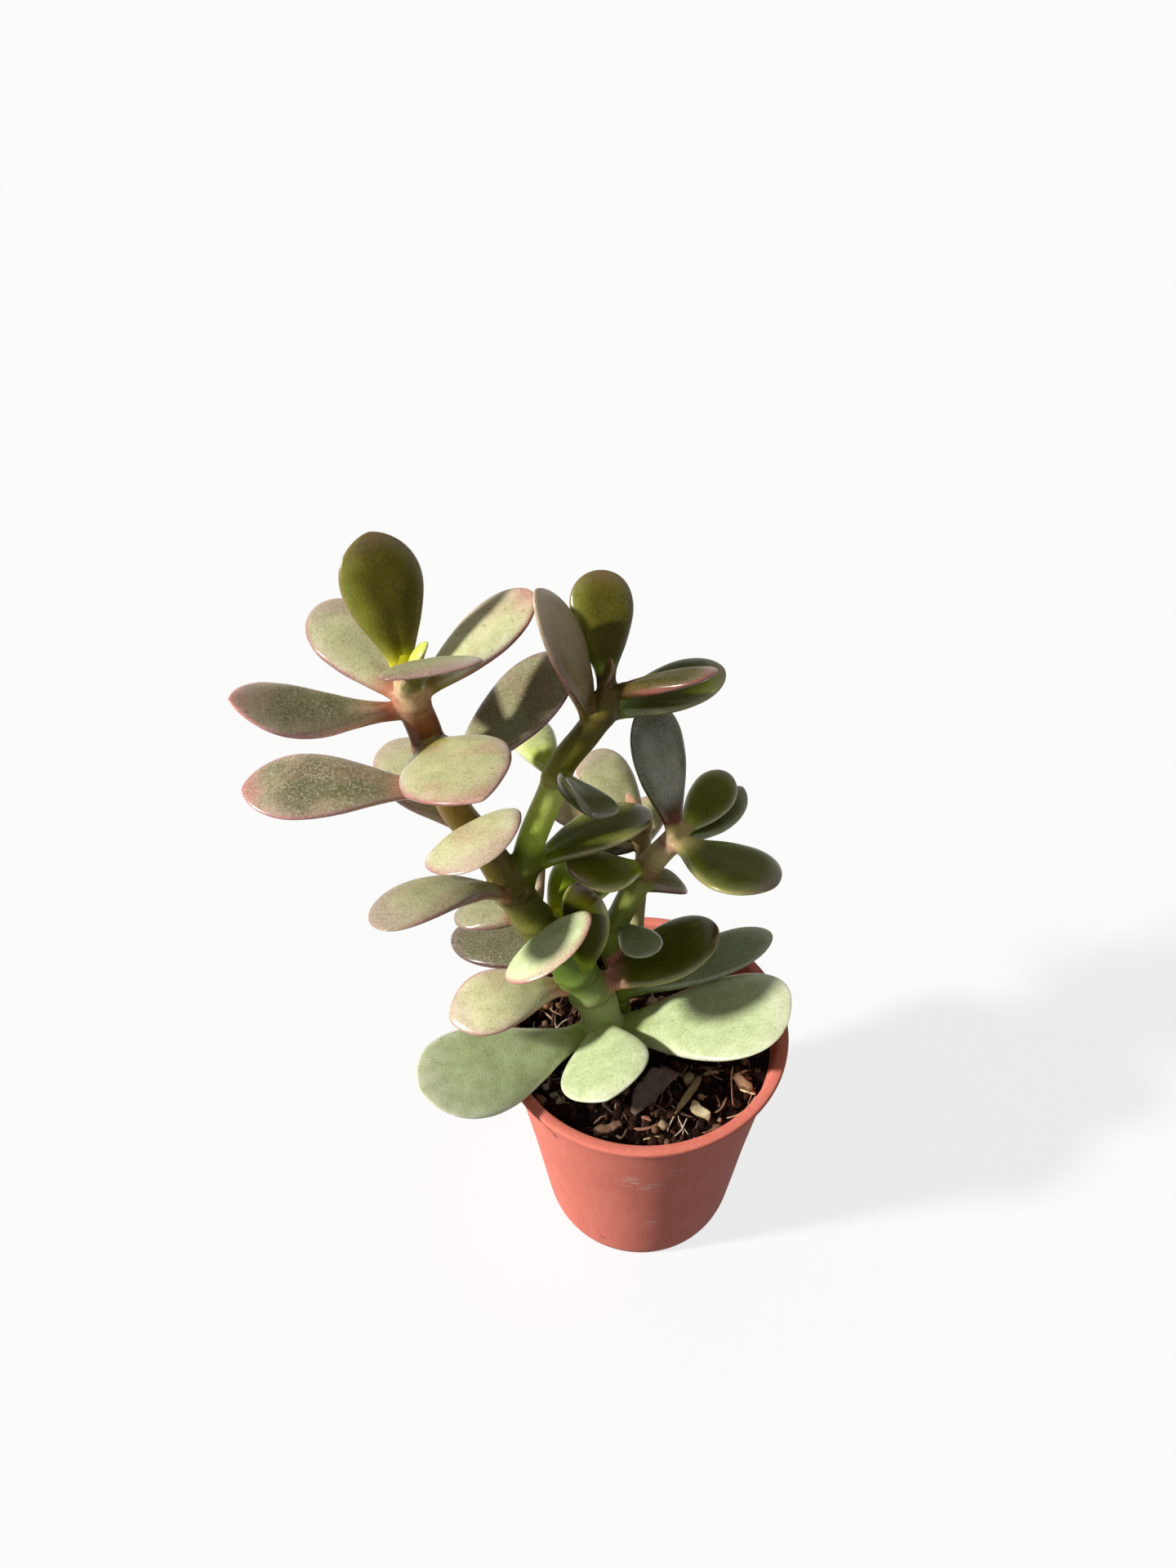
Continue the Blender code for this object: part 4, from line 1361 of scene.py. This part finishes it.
LUMPS = (
    Lump((2.6, 9.2), 1.2, shade(232, 202, 184)), Lump((5.8, 8.5), 1.3, shade(236, 210, 190)),
    Lump((4.2, 9.6), 0.9, shade(206, 160, 140)), Lump((7.2, 9.8), 1.0, shade(226, 196, 176)),
    Lump((4.4, 7.2), 0.9, shade(150, 104, 84)), Lump((-0.9, 9.4), 0.9, shade(146, 104, 86)),
    Lump((-18.8, 8.6), 1.4, shade(214, 160, 120)), Lump((-16.2, 8.8), 1.0, BARK),
    Lump((-18.5, -9.9), 1.0, GRIT), Lump((-17.2, -11.6), 0.9, GRIT), Lump((-16.0, -13.4), 1.0, GRIT),
    Lump((-17.9, -8.4), 0.7, GRIT), Lump((-15.4, -12.2), 0.7, shade(226, 218, 210)),
    Lump((8.3, -9.0), 1.0, shade(212, 194, 158)), Lump((8.3, -21.5), 0.35, ROOT),
    Lump((5.4, -22.0), 0.4, ROOT), Lump((3.1, -22.5), 0.35, ROOT), Lump((0.9, -14.3), 0.9, TWIG),
    Lump((-5.8, -19.6), 0.6, shade(214, 196, 176)), Lump((13.2, -17.9), 0.5, STRAW),
    Lump((11.6, -20.6), 0.35, ROOT), Lump((-10.4, -18.9), 0.8, BARK), Lump((19.2, -10.2), 0.7, BARK),
)


@dataclass
class Compost:
    """Dark crumbly compost with roots, straws and fibres on top."""
    top: float = 48.4
    radius: float = 24.35
    depth: float = 6.0
    rings: int = 84
    sides: int = 220
    crumb_count: int = 1500
    pale_share: float = 0.05        # how many of the crumbs are pale
    fibre_count: int = 150
    strand_rings: int = 11
    strand_sides: int = 7
    strands: tuple = STRANDS
    lumps: tuple = LUMPS
    earth: Colour = shade(32, 19, 14)
    hollow: Colour = shade(16, 10, 8)
    dust: Colour = shade(90, 66, 54)
    dark_crumbs: tuple = (shade(44, 28, 21), shade(30, 19, 15), shade(60, 41, 32), shade(78, 52, 40))
    pale_crumbs: tuple = (shade(150, 118, 92), shade(176, 152, 124), shade(120, 92, 72))
    fibre_colours: tuple = (shade(120, 92, 70), shade(92, 66, 50), shade(164, 132, 100), shade(70, 50, 40))
    seed: int = 11

    def level(self, x: float, y: float) -> float:
        """Height of the compost's surface.

        Args:
            x: place along X in mm.
            y: place along Y in mm.

        Returns:
            The height in mm.
        """
        clods = noise.noise(Vector((x / 4.2, y / 4.2, 1.7))) * 0.9
        lumps = noise.noise(Vector((x / 1.7, y / 1.7, 5.1))) * 0.55
        crumbs = abs(noise.noise(Vector((x / 0.75, y / 0.75, 9.3)))) * 0.5
        return self.top - 0.7 + clods + lumps + crumbs

    def bed(self) -> bpy.types.Object:
        """The surface of the compost, closed below.

        Returns:
            The piece.
        """
        rows = []
        for i in range(self.rings):
            radius = self.radius * (i + 0.5) / (self.rings - 0.5)
            for angle in around(self.sides):
                x, y = radius * math.cos(angle), radius * math.sin(angle)
                rows.append((x, y, self.level(x, y)))
        edge = self.radius - 0.9
        for angle in around(self.sides):
            rows.append((edge * math.cos(angle), edge * math.sin(angle), self.top - self.depth))
        faces = ring_faces(self.rings + 1, self.sides)
        piece = add_piece("compost_bed", np.array(rows), faces, "soil", ("soil",))
        piece.data.materials.append(self.material("compost_earth", False))
        return piece

    def material(self, name: str, painted: bool) -> bpy.types.Material:
        """Matt dark earth with paler specks.

        Args:
            name: the material's name.
            painted: take the base colour from the mesh.

        Returns:
            The material.
        """
        wiring = Wiring(name)
        coarse = wiring.grain(2.2, 5.0)
        fine = wiring.grain(0.35, 3.0)
        colour = wiring.painted(TINT) if painted else self.earth
        colour = wiring.mix(wiring.step(coarse, 0.4, 0.68, top=0.5), colour, self.hollow)
        colour = wiring.mix(wiring.step(fine, 0.58, 0.75, top=0.32), colour, self.dust)
        wiring.bump(wiring.plus(fine, coarse), 0.25, 0.8)
        return wiring.finish(colour, wiring.step(fine, 0.3, 0.7, 0.8, 0.98), Specular_IOR_Level=0.1)

    def spot(self, random_source: random.Random, reach: float) -> tuple[float, float]:
        """A random place on the compost.

        Args:
            random_source: the generator.
            reach: how far out it may lie, in mm.

        Returns:
            Its x and y.
        """
        radius = reach * math.sqrt(random_source.random())
        angle = random_source.random() * math.tau
        return radius * math.cos(angle), radius * math.sin(angle)

    def crumbs(self) -> bpy.types.Object:
        """Loose crumbs of earth, bark and a few pale bits, and the lumps that have places of their own.

        Returns:
            The piece.
        """
        source = random.Random(self.seed)
        ball = bmesh.new()
        bmesh.ops.create_icosphere(ball, subdivisions=2, radius=1.0)
        pattern = np.array([vert.co for vert in ball.verts])
        sides = [tuple(vert.index for vert in face.verts) for face in ball.faces]
        ball.free()
        parts, tints = [], []
        for number in range(self.crumb_count + len(self.lumps)):
            x, y = self.spot(source, self.radius - 0.8)
            size = 0.28 + 0.75 * source.random() ** 2.5
            pale = source.random() < self.pale_share
            tint = source.choice(self.pale_crumbs if pale else self.dark_crumbs)
            if number >= self.crumb_count:
                lump = self.lumps[number - self.crumb_count]
                (x, y), size, tint = lump.place, lump.size, lump.colour
            shape = [source.uniform(0.6, 1.3), source.uniform(0.6, 1.3), source.uniform(0.5, 0.9)]
            uneven = 1.0 + 0.45 * ripple(pattern, 0.8, number * 0.37)
            knob = pattern * uneven[:, None] * (np.array(shape) * size)
            spin = np.array(Matrix.Rotation(source.random() * math.tau, 3, "Z"))
            parts.append((knob @ spin.T + (x, y, self.level(x, y) + 0.3 * size), sides))
            tints.append(np.tile(tint, (len(pattern), 1)))
        piece = add_piece("compost_crumbs", *merged(parts), "soil")
        paint(piece, np.vstack(tints))
        piece.data.materials.append(self.material("crumb_earth", True))
        return piece

    def strand(self, strand: Strand) -> tuple[np.ndarray, list]:
        """Lay one strand on the compost.

        Args:
            strand: the strand.

        Returns:
            Its vertices in mm and its faces.
        """
        start, end = np.array(strand.start), np.array(strand.end)
        across = np.array((start[1] - end[1], end[0] - start[0])) / np.linalg.norm(end - start)
        share = np.linspace(0.0, 1.0, self.strand_rings)
        bow = 4.0 * share * (1.0 - share)
        wave = 0.06 * np.sin(9.0 * share + 7.0 * strand.radius)
        plan = start + share[:, None] * (end - start) + (strand.sway * bow + wave)[:, None] * across
        middle = plan[self.strand_rings // 2]
        ground = max(self.level(*start), self.level(*end), self.level(*middle))
        lift = ground + 0.2 + strand.radius * strand.flat + strand.rise * share ** 1.5
        radii = strand.radius * (0.45 + 0.55 * bow ** 0.6) * (1.0 + 0.12 * np.sin(23.0 * share))
        return tube(np.column_stack([plan, lift]), radii, self.strand_sides, strand.flat)

    def fibres(self) -> bpy.types.Object:
        """The strands, and thin straws, needles and bark slivers strewn over the compost.

        Returns:
            The piece.
        """
        source = random.Random(self.seed + 1)
        strands = list(self.strands)
        for _ in range(self.fibre_count):
            x, y = self.spot(source, self.radius - 3.0)
            angle = source.random() * math.tau
            half = source.uniform(0.8, 2.7)
            dx, dy = half * math.cos(angle), half * math.sin(angle)
            strands.append(Strand((x - dx, y - dy), (x + dx, y + dy),
                                  source.uniform(0.08, 0.28), source.choice(self.fibre_colours),
                                  sway=source.uniform(-0.4, 0.4) * half,
                                  rise=source.uniform(-0.2, 0.4), flat=0.5))
        parts = [self.strand(strand) for strand in strands]
        piece = add_piece("compost_fibres", *merged(parts), "litter")
        paint(piece, np.vstack([np.tile(strand.colour, (len(points), 1))
                                for strand, (points, _) in zip(strands, parts)]))
        piece.data.materials.append(litter_material("fibre_straw"))
        return piece

    def build(self) -> None:
        """Build the compost and what is strewn over it."""
        self.bed()
        self.crumbs()
        self.fibres()


def litter_material(name: str) -> bpy.types.Material:
    """Dry plant litter: painted colour with dark blotches and a pale fine grain.

    Args:
        name: the material's name.

    Returns:
        The material.
    """
    wiring = Wiring(name)
    fine = wiring.grain(0.3, 4.0)
    broad = wiring.grain(1.4, 3.0)
    colour = wiring.painted(TINT)
    colour = wiring.mix(wiring.step(broad, 0.45, 0.7, top=0.45), colour, BLOTCH)
    colour = wiring.mix(wiring.step(fine, 0.5, 0.7, top=0.35), colour, FUZZ)
    wiring.bump(wiring.plus(fine, broad), 0.15, 0.7)
    return wiring.finish(colour, wiring.step(fine, 0.3, 0.7, 0.62, 0.88))


@dataclass(frozen=True)
class Scrap:
    """A flat scrap of litter: its place, heading, size, bend and colours.

    `left` and `right` give its half width on each side at even steps along it,
    as a share of half its width. `sway` bows it sideways, `bow` upwards, `curl`
    lifts its edges, a low `square` makes its section boxy and `rough` is the
    height of its bumps.
    """
    name: str
    place: tuple
    azimuth: float
    length: float
    width: float
    thick: float
    colour: Colour
    edge: Colour
    left: tuple
    right: tuple
    sway: float = 0.0
    bow: float = 0.0
    curl: float = 0.0
    square: float = 0.5
    rough: float = 0.12


@dataclass
class Litter:
    """The larger scraps that lie on the compost."""
    ground: float = 48.8
    stations: int = 44
    sides: int = 28
    scraps: tuple = (
        Scrap("dead_leaf", (2.0, -12.4), 41, 12.5, 5.6, 0.7, shade(128, 110, 102), shade(84, 66, 60),
              (0.2, 0.5, 0.75, 0.8, 1.0, 0.75, 0.1), (0.3, 0.7, 0.95, 1.0, 0.7, 0.45, 0.1),
              sway=1.1, bow=1.2, curl=0.35, square=0.8, rough=0.35),
        Scrap("straw_blade", (7.7, -12.9), 57, 9.4, 1.5, 0.45, shade(190, 168, 124), shade(140, 112, 78),
              (0.3, 0.8, 1.0, 1.0, 0.9, 0.4), (0.2, 0.6, 0.9, 1.0, 1.0, 0.7), sway=-0.3, bow=0.4, curl=0.2),
        Scrap("pale_chip", (9.9, -16.3), -58, 4.8, 3.4, 0.7, shade(240, 224, 180), shade(196, 174, 126),
              (0.1, 0.4, 0.3, 0.5, 0.7, 0.1), (0.2, 0.9, 1.0, 0.7, 0.3, 0.1),
              bow=0.2, square=0.35, rough=0.2),
        Scrap("bark_chip_front", (-7.2, -19.8), 17, 5.5, 2.2, 1.0, shade(128, 92, 70), shade(78, 52, 40),
              (0.4, 1.0, 0.7, 0.9, 0.5), (0.7, 0.8, 1.0, 0.6, 0.3), square=0.3, rough=0.25),
        Scrap("bark_chip_right", (18.2, -10.8), -50, 4.5, 2.2, 1.0, shade(176, 134, 98), shade(110, 76, 54),
              (0.5, 1.0, 0.8, 0.9, 0.3), (0.6, 0.7, 1.0, 0.5, 0.2), square=0.3, rough=0.25),
    )

    def shape(self, scrap: Scrap, seed: int) -> tuple[np.ndarray, list, np.ndarray]:
        """Vertices and faces of a scrap and how near its edge each vertex is.

        Args:
            scrap: the scrap.
            seed: moves its roughness.

        Returns:
            Vertices in mm, faces, and a share from 0 in the middle to 1 at the edge.
        """
        turn = np.repeat(np.linspace(0.0, np.pi, self.stations + 1), self.sides)
        angle = np.tile(around(self.sides), self.stations + 1)
        along = -np.cos(turn)
        side = np.sign(np.cos(angle)) * np.abs(np.cos(angle)) ** scrap.square
        lift = np.sign(np.sin(angle)) * np.abs(np.sin(angle)) ** scrap.square
        share = (along + 1.0) / 2.0
        left = np.interp(share, np.linspace(0.0, 1.0, len(scrap.left)), scrap.left)
        right = np.interp(share, np.linspace(0.0, 1.0, len(scrap.right)), scrap.right)
        reach = side * np.where(side > 0.0, left, right) * scrap.width / 2
        middle = 1.0 - along ** 2
        end = np.clip(3.0 * np.sin(turn), 0.15, 1.0)
        height = lift * end * scrap.thick / 2 + scrap.bow * middle + scrap.curl * reach ** 2 / scrap.width
        local = np.column_stack([along * scrap.length / 2, reach + scrap.sway * middle, height])
        local[:, 2] += scrap.rough * ripple(local, 1.1, seed)
        local[:, 1] += scrap.rough * ripple(local, 1.4, seed + 9)
        spin = np.array(Matrix.Rotation(math.radians(scrap.azimuth), 3, "Z"))
        points = local @ spin.T + (*scrap.place, self.ground + scrap.thick / 2)
        return points, ring_faces(self.stations + 1, self.sides), np.maximum(np.abs(side), np.abs(along))

    def build(self) -> None:
        """Build each scrap as a piece of its own."""
        for number, scrap in enumerate(self.scraps):
            points, faces, edges = self.shape(scrap, number * 7 + 3)
            piece = add_piece(scrap.name + "_scrap", points, faces, "litter", (scrap.name,))
            rows = np.tile(np.array(scrap.colour), (len(points), 1))
            # towards its outline a scrap darkens to its edge colour: partly its own colour, partly painted
            # shade along its edges
            paint(piece, blend(rows, scrap.edge, ease(0.6, 1.0, edges)))
            piece.data.materials.append(litter_material(scrap.name + "_dry"))


# --- studio ---

@dataclass
class Studio:
    """Pale floor, sunlight from the left, a soft fill and the camera."""
    key_strength: float = 4.1
    key_angle: float = 5.0           # degrees that the lamp spans
    key_azimuth: float = 194.0       # where the key light comes from, 90 is +Y
    key_height: float = 33.0         # degrees above the horizon
    key_colour: Colour = (1.0, 0.985, 0.95)
    fill_strength: float = 0.2
    fill_colour: Colour = (1.0, 0.99, 0.94)
    floor_reach: float = 6000.0
    floor_drop: float = 0.2          # how far it lies under the foot
    floor_seen: float = 0.92         # how pale the floor shows
    floor_bounce: float = 0.2        # and how much light it throws back
    floor_glow: float = 0.8
    floor_roughness: float = 0.9
    camera_place: tuple = (-9.6, -136.5, 237.8)
    camera_pitch: float = 42.0       # degrees below the horizon
    camera_roll: float = -1.0
    camera_lens: float = 27.2
    camera_sensor: float = 36.0
    nearest: float = 10.0            # nearest distance that the camera shows

    def camera(self) -> None:
        """Set the camera."""
        data = bpy.data.cameras.new("camera")
        data.sensor_width = self.camera_sensor
        data.lens = self.camera_lens
        data.clip_start = self.nearest * MM
        camera = add_object("camera", data)
        tilt = Matrix.Rotation(math.radians(90.0 - self.camera_pitch), 4, "X")
        roll = Matrix.Rotation(math.radians(self.camera_roll), 4, "Z")
        camera.matrix_world = Matrix.Translation(Vector(self.camera_place) * MM) @ tilt @ roll
        bpy.context.scene.camera = camera

    def key(self) -> None:
        """Hang the key light."""
        light = bpy.data.lights.new("key", "SUN")
        light.energy = self.key_strength
        light.angle = math.radians(self.key_angle)
        light.color = self.key_colour
        lamp = add_object("key", light)
        azimuth, height = math.radians(self.key_azimuth), math.radians(self.key_height)
        towards = Vector((math.cos(azimuth) * math.cos(height), math.sin(azimuth) * math.cos(height),
                          math.sin(height)))
        lamp.rotation_mode = "QUATERNION"
        lamp.rotation_quaternion = towards.to_track_quat("Z", "Y")

    def seen_rays(self, tree: bpy.types.NodeTree) -> bpy.types.NodeSocket:
        """1 for the rays that show a background, to the camera or in a gloss.

        Args:
            tree: the node tree.

        Returns:
            The output socket.
        """
        paths = tree.nodes.new("ShaderNodeLightPath")
        total = paths.outputs["Is Camera Ray"]
        for name in ("Is Glossy Ray", "Is Transmission Ray"):
            either = tree.nodes.new("ShaderNodeMath")
            either.operation = "MAXIMUM"
            tree.links.new(total, either.inputs[0])
            tree.links.new(paths.outputs[name], either.inputs[1])
            total = either.outputs[0]
        return total

    def world(self) -> None:
        """Even fill light, and a white background behind it."""
        world = bpy.data.worlds.new("studio")
        world.use_nodes = True
        bpy.context.scene.world = world
        tree = world.node_tree
        fill = tree.nodes["Background"]
        fill.inputs["Color"].default_value = (*self.fill_colour, 1.0)
        fill.inputs["Strength"].default_value = self.fill_strength
        white = tree.nodes.new("ShaderNodeBackground")
        white.inputs["Color"].default_value = (1.0, 1.0, 1.0, 1.0)
        mixed = tree.nodes.new("ShaderNodeMixShader")
        tree.links.new(self.seen_rays(tree), mixed.inputs[0])
        tree.links.new(fill.outputs[0], mixed.inputs[1])
        tree.links.new(white.outputs[0], mixed.inputs[2])
        tree.links.new(mixed.outputs[0], tree.nodes["World Output"].inputs["Surface"])

    def floor(self) -> None:
        """Lay the pale floor. It shows white, and the object's shadow stays on it."""
        reach = self.floor_reach
        corners = [(-reach, -reach, 0.0), (reach, -reach, 0.0), (reach, reach, 0.0), (-reach, reach, 0.0)]
        mesh = make_mesh("floor", corners, [(0, 1, 2, 3)])
        floor = add_object("floor", mesh)
        floor.location.z = -self.floor_drop * MM
        material = bpy.data.materials.new("floor_paper")
        material.use_nodes = True
        tree = material.node_tree
        shader = tree.nodes["Principled BSDF"]
        pale = tree.nodes.new("ShaderNodeMapRange")
        pale.inputs["To Min"].default_value = self.floor_bounce
        pale.inputs["To Max"].default_value = self.floor_seen
        tree.links.new(self.seen_rays(tree), pale.inputs["Value"])
        tree.links.new(pale.outputs["Result"], shader.inputs["Base Color"])
        shader.inputs["Roughness"].default_value = self.floor_roughness
        shader.inputs["Specular IOR Level"].default_value = 0.0
        glow = tree.nodes.new("ShaderNodeEmission")
        share = tree.nodes.new("ShaderNodeMath")
        share.operation = "MULTIPLY"
        share.inputs[1].default_value = self.floor_glow
        mixed = tree.nodes.new("ShaderNodeMixShader")
        tree.links.new(self.seen_rays(tree), share.inputs[0])
        tree.links.new(share.outputs[0], mixed.inputs[0])
        tree.links.new(shader.outputs[0], mixed.inputs[1])
        tree.links.new(glow.outputs[0], mixed.inputs[2])
        tree.links.new(mixed.outputs[0], tree.nodes["Material Output"].inputs["Surface"])
        mesh.materials.append(material)

    def build(self) -> None:
        """Set up the whole studio."""
        bpy.context.scene.view_settings.view_transform = "Standard"
        self.world()
        self.floor()
        self.key()
        self.camera()


def main() -> None:
    """Build the studio, the pot, the compost and the plant."""
    logging.basicConfig(level=logging.INFO, format="%(message)s")
    Studio().build()
    Pot().build()
    Compost().build()
    Litter().build()
    stem_work = StemWork()
    stem_work.trace()
    foliage = Foliage(stem_work)
    stem_work.build(foliage)
    foliage.build()


if __name__ == "__main__":
    main()
